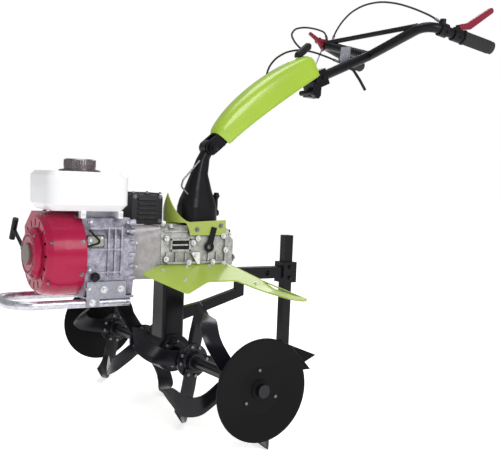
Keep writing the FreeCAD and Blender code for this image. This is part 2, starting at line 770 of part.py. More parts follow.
def inset(corners, wall):
    """Moves each side of a closed outline inwards by a wall."""
    flat = [Vector(float(across), float(up), 0) for across, up in corners]
    area = sum(a.x * b.y - b.x * a.y for a, b in zip(flat, flat[1:] + flat[:1]))
    sign = 1 if area > 0 else -1
    moved = []
    for before, here, after in zip(flat[-1:] + flat[:-1], flat, flat[1:] + flat[:1]):
        into = (here - before).normalize()
        out = (after - here).normalize()
        normal_in = Vector(-into.y, into.x, 0) * sign
        normal_out = Vector(-out.y, out.x, 0) * sign
        shift = (normal_in + normal_out) * (float(wall) / (1 + normal_in.dot(normal_out)))
        moved.append((here.x + shift.x, here.y + shift.y))
    return moved


def fan_shroud():
    """The pressed shroud: a drum over the flywheel, a duct to the cylinder and a ring of air slots."""
    body = new_body("fan_shroud")
    outer = d.shroud_radius
    deep = d.shroud_depth
    wall = d.shroud_wall
    shoulder = outer * 0.86
    sketch = sketch_on(body, "XZ_Plane", "shroud_profile")
    outline(sketch, [(0, 0), (0, outer), (deep * 0.55, outer), (deep * 0.86, outer * 0.95), (deep, shoulder), (deep, 0)])
    revolve(body, sketch, "H_Axis", "shroud_drum")
    duct_corners = [
        (outer * 0.2, d.duct_top), (-outer * 0.85, d.duct_top), (-d.duct_reach, outer * 0.55),
        (-d.duct_reach * 0.86, -outer * 0.15), (-outer * 0.5, -outer * 0.5), (0, 0),
    ]
    duct = sketch_on(body, "YZ_Plane", "duct_profile")
    outline(duct, duct_corners)
    pad(body, duct, deep * 0.8, "duct_block")
    hollow = sketch_on(body, "XZ_Plane", "drum_inside")
    outline(hollow, [
        (0, 0), (0, outer - wall), (deep * 0.55 - wall / 3, outer - wall),
        (deep * 0.86 - wall, outer * 0.95 - wall), (deep - wall, shoulder - wall / 3), (deep - wall, 0),
    ])
    groove = body.newObject("PartDesign::Groove", "drum_hollow")
    groove.Profile = hollow
    groove.ReferenceAxis = (hollow, ["H_Axis"])
    groove.Angle = 360
    inside = sketch_on(body, "YZ_Plane", "duct_inside")
    outline(inside, inset(duct_corners, wall))
    pocket(body, inside, deep * 0.8 - wall, "duct_hollow", back=True)
    DOC.recompute()
    slot = sketch_on(body, "YZ_Plane", "slot_profile", lift=deep)
    half = d.louvre_width / 2
    low = d.recoil_radius + 5
    outline(slot, [(-half, low), (half, low), (half, shoulder - 4), (-half, shoulder - 4)])
    first = pocket(body, slot, wall * 2, "first_slot")
    DOC.recompute()
    slots = body.newObject("PartDesign::PolarPattern", "slot_ring")
    slots.Originals = [first]
    slots.Axis = (sketch, ["H_Axis"])
    slots.Angle = 360
    slots.Occurrences = int(float(d.louvre_count))
    body.Tip = slots
    place(body, x=ENGINE_FRONT, z=d.crank_height)
    return node("fan_shroud", body)


def recoil_cover():
    """The starter's pressed housing."""
    body = new_body("recoil_cover")
    outer = d.recoil_radius
    deep = d.recoil_depth
    wall = d.sheet_wall
    sketch = sketch_on(body, "XZ_Plane", "recoil_profile")
    outline(sketch, [
        (0, outer), (deep * 0.4, outer), (deep, outer * 0.8), (deep, 0), (deep - wall, 0),
        (deep - wall, outer * 0.8 - wall / 2), (deep * 0.4 - wall / 2, outer - wall), (0, outer - wall),
    ])
    revolve(body, sketch, "H_Axis", "recoil_turn")
    place(body, x=SHROUD_FRONT, z=d.crank_height)
    return node("recoil_cover", body)


def recoil_cap():
    cap = cylinder("recoil_cap", d.recoil_radius * 0.42, 6, turn=ALONG_X,
                   x=SHROUD_FRONT + d.recoil_depth, z=d.crank_height)
    return node("recoil_cap", cap)


def recoil_handle():
    """The starter's pull handle, a bar across a short stem."""
    middle = SHROUD_FRONT + d.recoil_depth * 0.4
    start = spot(middle, -float(d.recoil_radius) + 1.2, float(d.crank_height) + 6)
    end = spot(middle, -152, float(d.crank_height) + 52)
    aim = (end - start).normalize()
    stem = Part.makeCylinder(5, (end - start).Length, start, aim)
    bar_aim = Vector(0, -aim.z, aim.y) * -1
    bar = Part.makeCylinder(8, 62, end - bar_aim * 31, bar_aim)
    housing = Part.makeCylinder(float(d.recoil_radius), 60, spot(SHROUD_FRONT, 0, d.crank_height), Vector(1, 0, 0))
    return node("recoil_handle", solid("recoil_handle", stem.fuse(bar).cut(housing).removeSplitter()))


def tank_form(name, gap):
    """The tank's block with rounded corners and bevelled rims, drawn in by a gap."""
    body = new_body(name)
    half_x = d.tank_length / 2 - gap
    half_y = d.tank_width / 2 - gap
    sketch = sketch_on(body, "XY_Plane", name + "_profile", lift=gap)
    outline(sketch, [(-half_x, -half_y), (half_x, -half_y), (half_x, half_y), (-half_x, half_y)])
    block = pad(body, sketch, d.tank_height - 2 * gap, name + "_block")
    upright = round_edges(body, block, d.tank_corner - gap, name + "_corners", runs_along((0, 0, 1)))
    top = float(d.tank_height - gap)
    bevel = "PartDesign::Chamfer"
    crown = round_edges(body, upright, d.tank_crown, name + "_crown",
                        lambda edge: edge.CenterOfMass.z > top - 0.1, bevel)
    round_edges(body, crown, d.tank_keel, name + "_keel",
                lambda edge: edge.CenterOfMass.z < float(gap) + 0.1, bevel)
    return body


def fuel_tank():
    """The pressed tank, hollow, with its filler opening."""
    shell = tank_form("tank_outside", as_size(0))
    inside = tank_form("tank_inside", d.sheet_wall)
    filler = cylinder("tank_filler", d.filler_radius, d.tank_height, z=d.tank_height / 2, datum=False)
    piece = cut("fuel_tank", shell, inside, filler)
    place(piece, x=TANK_MIDDLE, y=d.tank_offset, z=d.crank_height + d.tank_lift)
    return node("fuel_tank", piece)


def fuel_cap():
    """The filler neck's flange with the hollow cap on it."""
    body = new_body("fuel_cap")
    edge = as_size(4)
    wall = d.sheet_wall
    sketch = sketch_on(body, "XZ_Plane", "cap_profile")
    outline(sketch, [
        (d.filler_radius, 0), (d.neck_radius, 0), (d.neck_radius - edge / 2, edge), (d.cap_radius + 2, edge + 2),
        (d.cap_radius, edge + 2), (d.cap_radius, d.cap_height), (d.cap_radius - edge, d.cap_height + edge),
        (0, d.cap_height + edge), (0, d.cap_height + edge - wall), (d.filler_radius, d.cap_height + edge - wall),
    ])
    revolve(body, sketch, "V_Axis", "cap_turn")
    place(body, x=TANK_MIDDLE, y=d.tank_offset, z=d.crank_height + d.tank_lift + d.tank_height)
    return node("fuel_cap", body)


def tank_bracket():
    """The saddle that carries the fuel tank on the crankcase."""
    low = d.crank_height + CRANKCASE_TOP
    middle = d.engine_rear + d.crankcase_length / 2
    piece = box("tank_bracket", d.crankcase_length * 0.8, 46, d.tank_lift - CRANKCASE_TOP, x=middle, y=20, z=low)
    return node("tank_bracket", piece)


def air_cleaner():
    """The filter box, on a neck that stands on the cylinder head."""
    middle = d.engine_rear + d.crankcase_length / 2
    floor = d.crank_height + d.cleaner_lift
    along = d.barrel_start + d.barrel_length + d.head_length / 2
    seat = d.barrel_width / 2 + d.fin_reach
    neck_y = seat * sine(d.lean) - along * cosine(d.lean)
    neck_low = d.crank_height + along * sine(d.lean) + seat * cosine(d.lean) - d.cleaner_neck
    shell = box("cleaner_shell", d.cleaner_length, d.cleaner_width, d.cleaner_height, x=middle, y=neck_y, z=floor)
    wall = d.sheet_wall
    room = box("cleaner_room", d.cleaner_length - 2 * wall, d.cleaner_width - 2 * wall, d.cleaner_height - 2 * wall,
               x=middle, y=neck_y, z=floor + wall)
    box_body = cut("cleaner_box", shell, room)
    neck = cylinder("cleaner_neck", d.cleaner_neck, floor - neck_low, x=middle, y=neck_y, z=neck_low)
    stub = cut("cleaner_stub", neck, DOC.getObject("cylinder_head"))
    return node("air_cleaner", fuse("air_cleaner", box_body, stub))


def muffler():
    """The exhaust box under its slotted guard."""
    body = new_body("muffler")
    half_x = d.muffler_length / 2
    half_y = d.muffler_width / 2
    sketch = sketch_on(body, "XY_Plane", "muffler_profile")
    outline(sketch, [(-half_x, -half_y), (half_x, -half_y), (half_x, half_y), (-half_x, half_y)])
    block = pad(body, sketch, d.muffler_height, "muffler_block")
    top = float(d.muffler_height)
    round_edges(body, block, 12, "muffler_rim", lambda edge: edge.CenterOfMass.z > top - 0.1)
    step = d.muffler_length / (d.guard_slots + 1)
    for i in range(int(float(d.guard_slots))):
        slot = sketch_on(body, "XZ_Plane", "guard_slot_%d" % i, lift=-half_y)
        across = -half_x + step * (i + 1)
        outline(slot, [(across - 3, 14), (across + 3, 14), (across + 3, top - 18), (across - 3, top - 18)])
        pocket(body, slot, 4, "guard_cut_%d" % i)
    wall = d.sheet_wall
    room = sketch_on(body, "XY_Plane", "muffler_room")
    outline(room, [(wall - half_x, wall - half_y), (half_x - wall, wall - half_y),
                   (half_x - wall, half_y - wall), (wall - half_x, half_y - wall)])
    pocket(body, room, d.muffler_height - 10, "muffler_hollow", back=True)
    middle = d.muffler_rear + half_x
    place(body, x=middle, y=-14 - half_y, z=CASE_TOP)
    return node("muffler", body)


def exhaust_pipe():
    """The pipe from the cylinder head round to the muffler's side."""
    middle = d.engine_rear + d.crankcase_length / 2
    head_rear = middle - d.barrel_width / 2 - d.fin_reach
    side = -164
    x = float(d.muffler_rear + d.muffler_length / 2)
    points = [spot(head_rear + 8, side, 506), spot(x, side, 534), spot(x, -14 - d.muffler_width, 534)]
    shape = tube_along(points, [24], 11).cut(DOC.getObject("cylinder_head").Shape)
    shape = max(shape.Solids, key=lambda part: part.Volume)
    return node("exhaust_pipe", solid("exhaust_pipe", shape))


def engine_mount():
    """The plate under the engine; its sides are folded up, and down in front beside the bumper."""
    body = new_body("engine_mount")
    half = d.flange_inside + d.flange_sheet
    length = d.plate_length
    plate = sketch_on(body, "XY_Plane", "plate_profile")
    outline(plate, [(0, -half), (length, -half), (length, half), (0, half)])
    pad(body, plate, d.plate_thickness, "plate_pad")
    rear = d.flange_rear
    split = d.flange_split
    front = d.flange_front
    for side, lift in (("left", -half), ("right", d.flange_inside)):
        flange = sketch_on(body, "XZ_Plane", side + "_flange", lift=lift)
        outline(flange, [
            (rear, 0), (split, 0), (split, -d.flange_drop), (front, -d.flange_drop),
            (front, d.flange_top), (rear, d.flange_top),
        ])
        pad(body, flange, d.flange_sheet, side + "_side")
    place(body, x=d.engine_rear, z=PLATE_FLOOR)
    return node("engine_mount", body)


def front_bumper():
    """A U of tube that guards the engine's front."""
    z = PLATE_FLOOR - d.bumper_tube / 2
    near = d.bumper_half_width
    tail = d.engine_rear + 6
    points = [spot(tail, near, z), spot(d.bumper_reach, near, z), spot(d.bumper_reach, -near, z), spot(tail, -near, z)]
    shape = tube_along(points, [float(d.bumper_bend)] * 2, float(d.bumper_tube) / 2)
    return node("front_bumper", solid("front_bumper", shape))


# ---------------------------------------------------------------- column
def column_pivot():
    """The upright pin on the gear case that the column turns on."""
    seat = cylinder("pivot_seat", d.pivot_seat_radius, SEAT_HEIGHT, x=-d.column_back, z=CASE_TOP)
    pin = cylinder("pivot_pin", d.pivot_radius, SEAT_HEIGHT + d.pivot_height, x=-d.column_back, z=CASE_TOP)
    return node("column_pivot", fuse("column_pivot", seat, pin))


COLUMN_FLOOR = CASE_TOP + SEAT_HEIGHT + d.face_gap


def rounded_ring(x, z, length, width, corner):
    """A level rounded rectangle for a loft, from the column's own origin."""
    a = length / 2
    b = width / 2
    r = min(corner, 0.95 * a, 0.95 * b)
    turns = ((1, 1), (-1, 1), (-1, -1), (1, -1))
    cut_corner = r * (1 - math.sqrt(0.5))
    edges = []
    for i, (sx, sy) in enumerate(turns):
        along_y = Vector(x + sx * a, sy * (b - r), z)
        along_x = Vector(x + sx * (a - r), sy * b, z)
        middle = Vector(x + sx * (a - cut_corner), sy * (b - cut_corner), z)
        first, last = (along_y, along_x) if sx * sy > 0 else (along_x, along_y)
        edges.append(Part.Arc(first, middle, last).toShape())
        nx, ny = turns[(i + 1) % 4]
        if sx != nx:
            ahead = Vector(x + nx * (a - r), ny * b, z)
        else:
            ahead = Vector(x + nx * a, ny * (b - r), z)
        edges.append(Part.LineSegment(last, ahead).toShape())
    return Part.Wire(edges)


def column():
    """The cast column: a broad foot that sweeps up and back to an eye."""
    long = float(d.column_length)
    wide = float(d.column_width)
    corner = float(d.column_corner)
    knuckle = Vector(float(d.column_back - d.knuckle_x), 0, float(d.knuckle_z - COLUMN_FLOOR))
    rise = knuckle.z
    neck = 2 * float(d.knuckle_radius)
    rings = (
        (0, 0, long, wide, corner),
        (0, 0.20 * rise, long * 0.98, wide * 0.96, corner),
        (0, 0.31 * rise, long * 0.90, wide * 0.85, corner),
        (-1, 0.42 * rise, long * 0.74, wide * 0.68, corner),
        (-4, 0.64 * rise, long * 0.46, wide * 0.46, corner),
        (knuckle.x * 0.45, 0.84 * rise, neck * 0.88, float(d.knuckle_width), corner),
        (knuckle.x, rise, neck * 0.8, float(d.knuckle_width), corner),
    )
    shape = Part.makeLoft([rounded_ring(*sizes) for sizes in rings], True, True)
    sideways = Vector(0, 1, 0)
    eye = Part.makeCylinder(float(d.knuckle_radius), float(d.knuckle_width),
                            knuckle - sideways * (float(d.knuckle_width) / 2), sideways)
    hole = Part.makeCylinder(float(d.pivot_pin_radius + d.running_gap), 2 * wide, knuckle - sideways * wide, sideways)
    bore = Part.makeCylinder(float(d.pivot_radius + d.running_gap), float(d.pivot_height) + 1)
    shape = shape.fuse(eye).cut(hole).cut(bore).removeSplitter()
    piece = solid("column", shape)
    return node("column", place(piece, x=-d.column_back, z=COLUMN_FLOOR))


def column_lock():
    """The locking bolt with its knob, low on the back of the column."""
    reach = float(d.column_back) + float(d.column_length) / 2
    height = float(COLUMN_FLOOR) + 26
    rear = spot(-reach + 6, 0, height)
    bolt = Part.makeCylinder(9, 20, rear, Vector(-1, 0, 0))
    post = Part.makeCylinder(5, 44, spot(-reach - 8, 0, height), Vector(0, 0, 1))
    knob = Part.makeCone(6, 10, 8, spot(-reach - 8, 0, height + 40)).fuse(
        Part.makeCone(10, 6, 10, spot(-reach - 8, 0, height + 48)))
    shape = bolt.fuse([post, knob]).cut(DOC.getObject("column").Shape).removeSplitter()
    shape = max(shape.Solids, key=lambda part: part.Volume)
    return node("column_lock", solid("column_lock", shape))


def selector_rod():
    """The bent rod on the front of the column."""
    radius = float(d.rod_diameter) / 2
    side = 17
    points = [spot(-78, 11, 684), spot(-24, side, 628), spot(-19, side, 610), spot(-44, side, 586)]
    shape = tube_along(points, [12, 9], radius).cut(DOC.getObject("column").Shape)
    shape = max(shape.Solids, key=lambda part: part.Volume)
    return node("selector_rod", solid("selector_rod", shape))


def sheet(points, thickness, inward):
    """A flat sheet through its corner points, thickened towards a point."""
    wire = Part.makePolygon(points + points[:1])
    normal = (points[1] - points[0]).cross(points[2] - points[0]).normalize()
    if normal.dot(inward - points[0]) < 0:
        normal = normal * -1
    return Part.Face(wire).extrude(normal * thickness)


def column_collar():
    """The pressed collar round the column's foot, with a peaked prow in front."""
    wall = float(d.collar_wall)
    half = float(d.collar_half_width)
    low = float(d.collar_low_z)
    high = float(d.collar_high_z)
    front = -float(d.collar_front)
    rear = -float(d.collar_rear)
    band = float(d.collar_band)
    prow = spot(d.prow_reach, 0, d.prow_z)
    peak = spot(d.prow_reach - 26, 0, d.prow_top_z)
    heart = spot(-d.column_back, 0, d.prow_z)
    shape = sheet([spot(x, y, CASE_TOP) for x, y in
                   ((rear, -half), (front, -half), (front, half), (rear, half))], wall, heart)
    for side in (-1, 1):
        corner_low = spot(front, side * half, low)
        corner_high = spot(front, side * half, low + band)
        shape = shape.fuse(sheet([corner_low, spot(rear, side * half, low), spot(rear, side * half, high),
                                  corner_high], wall, heart))
        face = [corner_low, prow, peak]
        normal = (face[1] - face[0]).cross(face[2] - face[0]).normalize()
        lift = Vector(0, 0, 1) - normal * normal.z
        inner = corner_low + lift * (band / lift.z) + (prow - corner_low) * 0.42
        shape = shape.fuse(sheet([corner_low, prow, peak, inner, corner_low + lift * (band / lift.z)], wall, heart))
    seat = Part.makeCylinder(float(d.pivot_seat_radius + d.fit_gap), 40, spot(-d.column_back, 0, CASE_TOP - 20))
    shape = shape.cut(seat)
    shape = shape.cut(DOC.getObject("gear_case").Shape)
    shape = max(shape.Solids, key=lambda part: part.Volume)
    return node("column_collar", solid("column_collar", shape))


def swing_latch():
    """The hooked strap on the collar's left side."""
    thick = 4
    inside = float(d.collar_half_width)
    eye = spot(-86, inside, 446)
    top = spot(-100, inside, 500)
    aim = (top - eye).normalize()
    across = aim.cross(Vector(0, 1, 0)) * 8
    strap = Part.Face(Part.makePolygon([eye - across, eye + across, top + across, top - across, eye - across]))
    shape = strap.extrude(Vector(0, thick, 0)).fuse(Part.makeCylinder(14, thick, eye, Vector(0, 1, 0)))
    shape = shape.cut(Part.makeCylinder(7, 3 * thick, eye - Vector(0, thick, 0), Vector(0, 1, 0))).removeSplitter()
    return node("swing_latch", solid("swing_latch", shape))


def throttle_lever():
    """The engine's speed lever: a small plate and a bent wire on the crankcase."""
    side = 94
    plate = Part.makeBox(46, 3, 30, spot(238, side, 452))
    points = [spot(280, side + 5.4, 496), spot(246, side + 5.4, 464), spot(284, side + 5.4, 455)]
    wire = tube_along(points, [6], float(d.rod_diameter) / 2)
    return node("throttle_lever", solid("throttle_lever", plate.fuse(wire).removeSplitter()))


# ---------------------------------------------------------------- handlebar
def handlebar_arm():
    """The box-section arm from the column's eye up inside the moulded cover."""
    eye = spot(-d.knuckle_x, 0, d.knuckle_z)
    elbow = spot(-d.elbow_x, 0, d.elbow_z)
    end = spot(-d.cover_end_x, 0, d.arm_end_z)
    width = float(d.arm_width)
    deep = float(d.arm_height)
    first = (elbow - eye).normalize()
    start = eye + first * 34
    path = bent_path([start, elbow, end], [float(d.elbow_bend)])
    up = Vector(0, 1, 0).cross(first) * -1
    side = Vector(0, 1, 0)
    corners = [start + side * a * width / 2 + up * b * deep / 2 for a, b in ((-1, -1), (1, -1), (1, 1), (-1, 1))]
    beam = swept(path, Part.makePolygon(corners + corners[:1]))
    half = float(d.knuckle_width) / 2 + 0.3
    thick = float(d.cheek_thickness)
    cheeks = []
    for sign in (-1, 1):
        y = sign * (half + thick / 2)
        corner = [eye + up * b * 20 + first * a for a, b in ((0, -1), (40, -1), (40, 1), (0, 1))]
        wire = Part.makePolygon(corner + corner[:1])
        cheek = Part.Face(wire).extrude(Vector(0, thick, 0))
        cheek.translate(Vector(0, y - thick / 2, 0))
        ear = Part.makeCylinder(20, thick, eye + Vector(0, y - thick / 2, 0), Vector(0, 1, 0))
        cheeks += [cheek, ear]
    pin = Part.makeCylinder(float(d.pivot_pin_radius), 2 * (half + thick + 6), eye - Vector(0, half + thick + 6, 0), Vector(0, 1, 0))
    shape = beam.fuse(cheeks + [pin]).removeSplitter()
    return node("handlebar_arm", solid("handlebar_arm", shape))


def upright_to(along):
    """The direction at right angles to a line in the middle plane, pointing up."""
    up = Vector(0, 1, 0).cross(along).normalize()
    return up if up.z > 0 else up * -1


def cover_frame(share):
    """The cover's middle, direction, width and depth at a share of the way up its curve."""
    foot = spot(-d.cover_foot_x, 0, d.cover_foot_z)
    end = spot(-d.cover_end_x, 0, d.cover_end_z)
    rise = math.radians(float(d.cover_foot_slope))
    fall = math.radians(float(d.cover_end_slope))
    second = foot + Vector(-math.cos(rise), 0, math.sin(rise)) * float(d.cover_foot_pull)
    third = end - Vector(-math.cos(fall), 0, math.sin(fall)) * float(d.cover_end_pull)
    left = 1 - share
    middle = (foot * left ** 3 + second * (3 * left ** 2 * share)
              + third * (3 * left * share ** 2) + end * share ** 3)
    along = ((second - foot) * left ** 2 + (third - second) * (2 * left * share)
             + (end - third) * share ** 2).normalize()

    def swell(first, most, last):
        return (float(first) * left * (1 - 2 * share) + float(most) * 4 * share * left
                + float(last) * share * (2 * share - 1))
    width = swell(d.cover_foot_width, d.cover_width, d.cover_end_width)
    deep = swell(d.cover_foot_depth, d.cover_depth_most, d.cover_end_depth)
    return middle, along, width, deep


def cover_sections(gap, drop):
    """Rings of the moulded cover from its foot to its top end, drawn in by a gap."""
    wires = []
    count = int(float(d.cover_stations))
    for i in range(count):
        middle, along, width, deep = cover_frame(i / (count - 1))
        up = upright_to(along)
        half = width / 2 - gap
        top = deep / 2 - gap
        low = -deep / 2 - drop
        ring_points = [(-half, low), (-half, top * 0.45), (-half * 0.55, top),
                       (half * 0.55, top), (half, top * 0.45), (half, low)]
        corners = [middle + Vector(0, a, 0) + up * b for a, b in ring_points]
        wires.append(Part.makePolygon(corners + corners[:1]))
    return wires


def handlebar_cover():
    """The moulded cover: an open-bottomed shell over the arm."""
    outer = Part.makeLoft(cover_sections(0, 0), True, True)
    inner = Part.makeLoft(cover_sections(float(d.cover_wall), 20), True, True)
    shape = outer.cut(inner)
    return node("handlebar_cover", solid("handlebar_cover", shape))


def bar_points():
    """The handlebar tube's corner points from the right grip to the left one."""
    right = [
        spot(-d.handle_reach, -d.grip_half_width, d.handle_end_z),
        spot(-d.handle_bend_x, -d.bar_half_width, d.handle_bend_z),
    ]
    middle = [spot(-d.handle_bend_x, 0, d.stem_top_z)]
    left = [Vector(p.x, -p.y, p.z) for p in reversed(right)]
    return right + middle + left


def handlebar_tube():
    radius = float(d.tube_diameter) / 2
    shape = tube_along(bar_points(), [float(d.bar_bend)] * 3, radius)
    return node("handlebar_tube", solid("handlebar_tube", shape))


def handlebar_stem():
    foot = spot(-d.stem_foot_x, 0, d.stem_foot_z)
    top = bar_points()[2]
    aim = top - foot
    radius = float(d.tube_diameter) / 2
    shape = Part.makeCylinder(radius, aim.Length, foot, aim)
    shape = shape.cut(DOC.getObject("handlebar_tube").Shape)
    shape = max(shape.Solids, key=lambda part: part.Volume)
    return node("handlebar_stem", solid("handlebar_stem", shape))


def handlebar_brace():
    """The straight brace between the handlebar's two bends."""
    points = bar_points()
    low, high = points[1], points[3]
    share = 0.84
    middle = (low + high) * 0.5
    left = middle + (high - middle) * share
    right = middle + (low - middle) * share
    shape = Part.makeCylinder(float(d.brace_diameter) / 2, (left - right).Length, right, left - right)
    shape = shape.cut(DOC.getObject("handlebar_tube").Shape)
    shape = max(shape.Solids, key=lambda part: part.Volume)
    return node("handlebar_brace", solid("handlebar_brace", shape))


def handlebar_clamp():
    """The block at the arm's end that holds the stem's foot."""
    foot = spot(-d.stem_foot_x, 0, d.stem_foot_z)
    aim = (bar_points()[2] - foot).normalize()
    up = Vector(0, 1, 0).cross(aim)
    if up.z < 0:
        up = up * -1
    start = foot - aim * 34
    side = Vector(0, 1, 0)
    corners = [start + side * a * 27 + up * b * 25 for a, b in ((-1, -1), (1, -1), (1, 1), (-1, 1))]
    block = Part.Face(Part.makePolygon(corners + corners[:1])).extrude(aim * 62)
    stem = Part.makeCylinder(float(d.tube_diameter / 2 + d.fit_gap), 200, foot, aim)
    arm = DOC.getObject("handlebar_arm").Shape
    cover = DOC.getObject("handlebar_cover").Shape
    shape = block.cut(stem).cut(arm).cut(cover)
    shape = max(shape.Solids, key=lambda part: part.Volume)
    return node("handlebar_clamp", solid("handlebar_clamp", shape))


def grip(label, side):
    points = bar_points()
    end, bend = (points[4], points[3]) if side > 0 else (points[0], points[1])
    aim = (bend - end).normalize()
    inner = float(d.tube_diameter / 2 + d.fit_gap)
    outer = inner + float(d.grip_wall)
    start = end - aim * 4
    sleeve = Part.makeCylinder(outer, float(d.grip_length) + 4, start, aim)
    hollow = Part.makeCylinder(inner, float(d.grip_length) + 50, end, aim)
    return node(label, solid(label, sleeve.cut(hollow)))


def along_grip(side, distance, lift=0):
    """A point on the handlebar's straight end, from its bend towards the grip."""
    points = bar_points()
    end, bend = (points[4], points[3]) if side > 0 else (points[0], points[1])
    return bend + (end - bend).normalize() * distance + Vector(0, 0, lift)


def clutch_lever():
    """The red lever above the left grip: a flat bar with a round end."""
    pivot = along_grip(1, 118, 27)
    tip = pivot + Vector(-112, 14, 62)
    knee = pivot + Vector(-30, 4, 6)
    wide = float(d.lever_width) / 2
    thick = float(d.lever_thickness)
    aim = (tip - knee).normalize()
    side = aim.cross(Vector(0, 0, 1)).normalize()
    up = side.cross(aim)
    first = (knee - pivot).normalize()
    first_up = side.cross(first).normalize()
    ring_points = [pivot - first_up * wide * 0.7, knee - up * wide, tip - up * wide * 0.8,
                   tip + up * wide * 0.8, knee + up * wide, pivot + first_up * wide * 0.7]
    flat = [point - side * side.dot(point - pivot) for point in ring_points]
    blade = Part.Face(Part.makePolygon(flat + flat[:1])).extrude(side * thick)
    blade.translate(side * (-thick / 2))
    nose = tip - side * side.dot(tip - pivot)
    round_end = Part.makeCylinder(wide * 0.8, thick, nose - side * (thick / 2), side)
    hub = Part.makeCylinder(wide * 0.8, thick * 1.6, pivot - side * (thick * 0.8), side)
    shape = blade.fuse([round_end, hub]).removeSplitter()
    return node("clutch_lever", solid("clutch_lever", shape))


def lever_clamp():
    """The band on the tube with the post that carries the clutch lever."""
    points = bar_points()
    along = (points[4] - points[3]).normalize()
    radius = float(d.tube_diameter) / 2
    seat = along_grip(1, 92)
    band = Part.makeCylinder(radius + 6, 26, seat, along)
    post = Part.makeCylinder(7, 30, along_grip(1, 110), Vector(0, 0, 1))
    hollow = Part.makeCylinder(radius + float(d.fit_gap), 60, seat - along * 20, along)
    shape = band.fuse(post).cut(hollow).cut(DOC.getObject("clutch_lever").Shape)
    shape = max(shape.Solids, key=lambda part: part.Volume)
    return node("lever_clamp", solid("lever_clamp", shape))


def cable_clamp():
    """The band near the left bend that holds the clutch cable's end."""
    points = bar_points()
    along = (points[4] - points[3]).normalize()
    radius = float(d.tube_diameter) / 2
    seat = along_grip(1, 44)
    band = Part.makeCylinder(radius + 6, 24, seat, along)
    post = Part.makeCylinder(9, radius + 17, seat + along * 12, Vector(0, 0, 1))
    hollow = Part.makeCylinder(radius + float(d.fit_gap), 60, seat - along * 20, along)
    shape = band.fuse(post).cut(hollow)
    shape = max(shape.Solids, key=lambda part: part.Volume)
    return node("cable_clamp", solid("cable_clamp", shape))


def reverse_lever():
    """The red forked lever in front of the right bend."""
    root = spot(-700, -228, 1119)
    knot = spot(-664, -230, 1119)
    upper = spot(-626, -230, 1139)
    lower = spot(-688, -231, 1088)
    stem = Part.makeCylinder(8, (knot - root).Length, root, knot - root)
    fork = [Part.makeCone(8, 6, (tip - knot).Length, knot, tip - knot) for tip in (upper, lower)]
    boss = Part.makeCylinder(10, 16, knot - Vector(0, 8, 0), Vector(0, 1, 0))
    shape = stem.fuse(fork + [boss])
    for name in ("handlebar_tube", "handlebar_brace"):
        shape = shape.cut(DOC.getObject(name).Shape)
    shape = max(shape.removeSplitter().Solids, key=lambda part: part.Volume)
    return node("reverse_lever", solid("reverse_lever", shape))


def console_plate():
    """The small plate on the stem's right side that holds the cables' stops."""
    inner = float(d.tube_diameter) / 2
    corners = [spot(-588, -inner, 1004), spot(-592, -inner, 1064), spot(-630, -inner, 1072), spot(-628, -inner, 1022)]
    plate = Part.Face(Part.makePolygon(corners + corners[:1])).extrude(Vector(0, -4, 0))
    return node("console_plate", solid("console_plate", plate))


def shift_rod():
    """The gear lever that hangs from the stem's left side."""
    points = [spot(-592, 14, 1000), spot(-612, 22, 992), spot(-640, 22, 964), spot(-665, 22, 934)]
    shape = tube_along(points, [10, 40], 4.5).cut(DOC.getObject("handlebar_stem").Shape)
    shape = max(shape.Solids, key=lambda part: part.Volume)
    return node("shift_rod", solid("shift_rod", shape))


def clamp_lever():
    """The wedge lever under the handlebar's clamp, with its cross bolt and knob."""
    foot = spot(-d.stem_foot_x, 0, d.stem_foot_z)
    aim = (bar_points()[2] - foot).normalize()
    up = Vector(0, 1, 0).cross(aim)
    if up.z < 0:
        up = up * -1

    def at(along, across, y=0.0):
        return foot + aim * along + up * across + Vector(0, y, 0)
    half = 14
    corners = [at(-56, -20, -half), at(-36, -26, -half), at(4, -26, -half), at(-8, -50, -half),
               at(-18, -56, -half), at(-54, -38, -half)]
    wedge = Part.Face(Part.makePolygon(corners + corners[:1])).extrude(Vector(0, 2 * half, 0))
    bolt = Part.makeCylinder(8, 66, at(-50, -26, -24), Vector(0, 1, 0))
    knob = Part.makeCylinder(13, 16, at(-50, -26, 34), Vector(0, 1, 0))
    shape = wedge.fuse([bolt, knob])
    for name in ("handlebar_clamp", "handlebar_arm", "handlebar_cover"):
        shape = shape.cut(DOC.getObject(name).Shape)
    shape = max(shape.removeSplitter().Solids, key=lambda part: part.Volume)
    return node("clamp_lever", solid("clamp_lever", shape))


def cable_gland():
    """The moulded guide on top of the cover that the cables leave by."""
    last = float(d.cover_stations) - 1
    tops = []
    for share in ((last - 1) / last, 1):
        middle, along, width, deep = cover_frame(share)
        tops.append(middle + upright_to(along) * (deep / 2))
    along = (tops[1] - tops[0]).normalize()
    up = upright_to(along)
    seat = (tops[0] + tops[1]) * 0.5 + up * float(d.fit_gap)
    low = seat - along * 2 + up * 5
    high = seat + along * 44 + up * 22
    aim = (high - low).normalize()
    shape = Part.makeCone(8, 12, 8, low - aim * 8, aim).fuse([
        Part.makeCylinder(12, (high - low).Length, low, aim), Part.makeCone(12, 7, 8, high, aim)])
    reach = along * 80
    half = Vector(0, 60, 0)
    floor = [seat - reach - half, seat + reach - half, seat + reach + half, seat - reach + half]
    below = Part.Face(Part.makePolygon(floor + floor[:1])).extrude(up * -80)
    shape = shape.cut(below).removeSplitter()
    return node("cable_gland", solid("cable_gland", shape))


def smooth_radii(points):
    """For each inner point, the largest arc that leaves a tenth of the shorter run straight."""
    radii = []
    for before, here, after in zip(points, points[1:], points[2:]):
        inward = here - before
        outward = after - here
        half_turn = inward.getAngle(outward) / 2
        radii.append(0.45 * min(inward.Length, outward.Length) / math.tan(half_turn))
    return radii


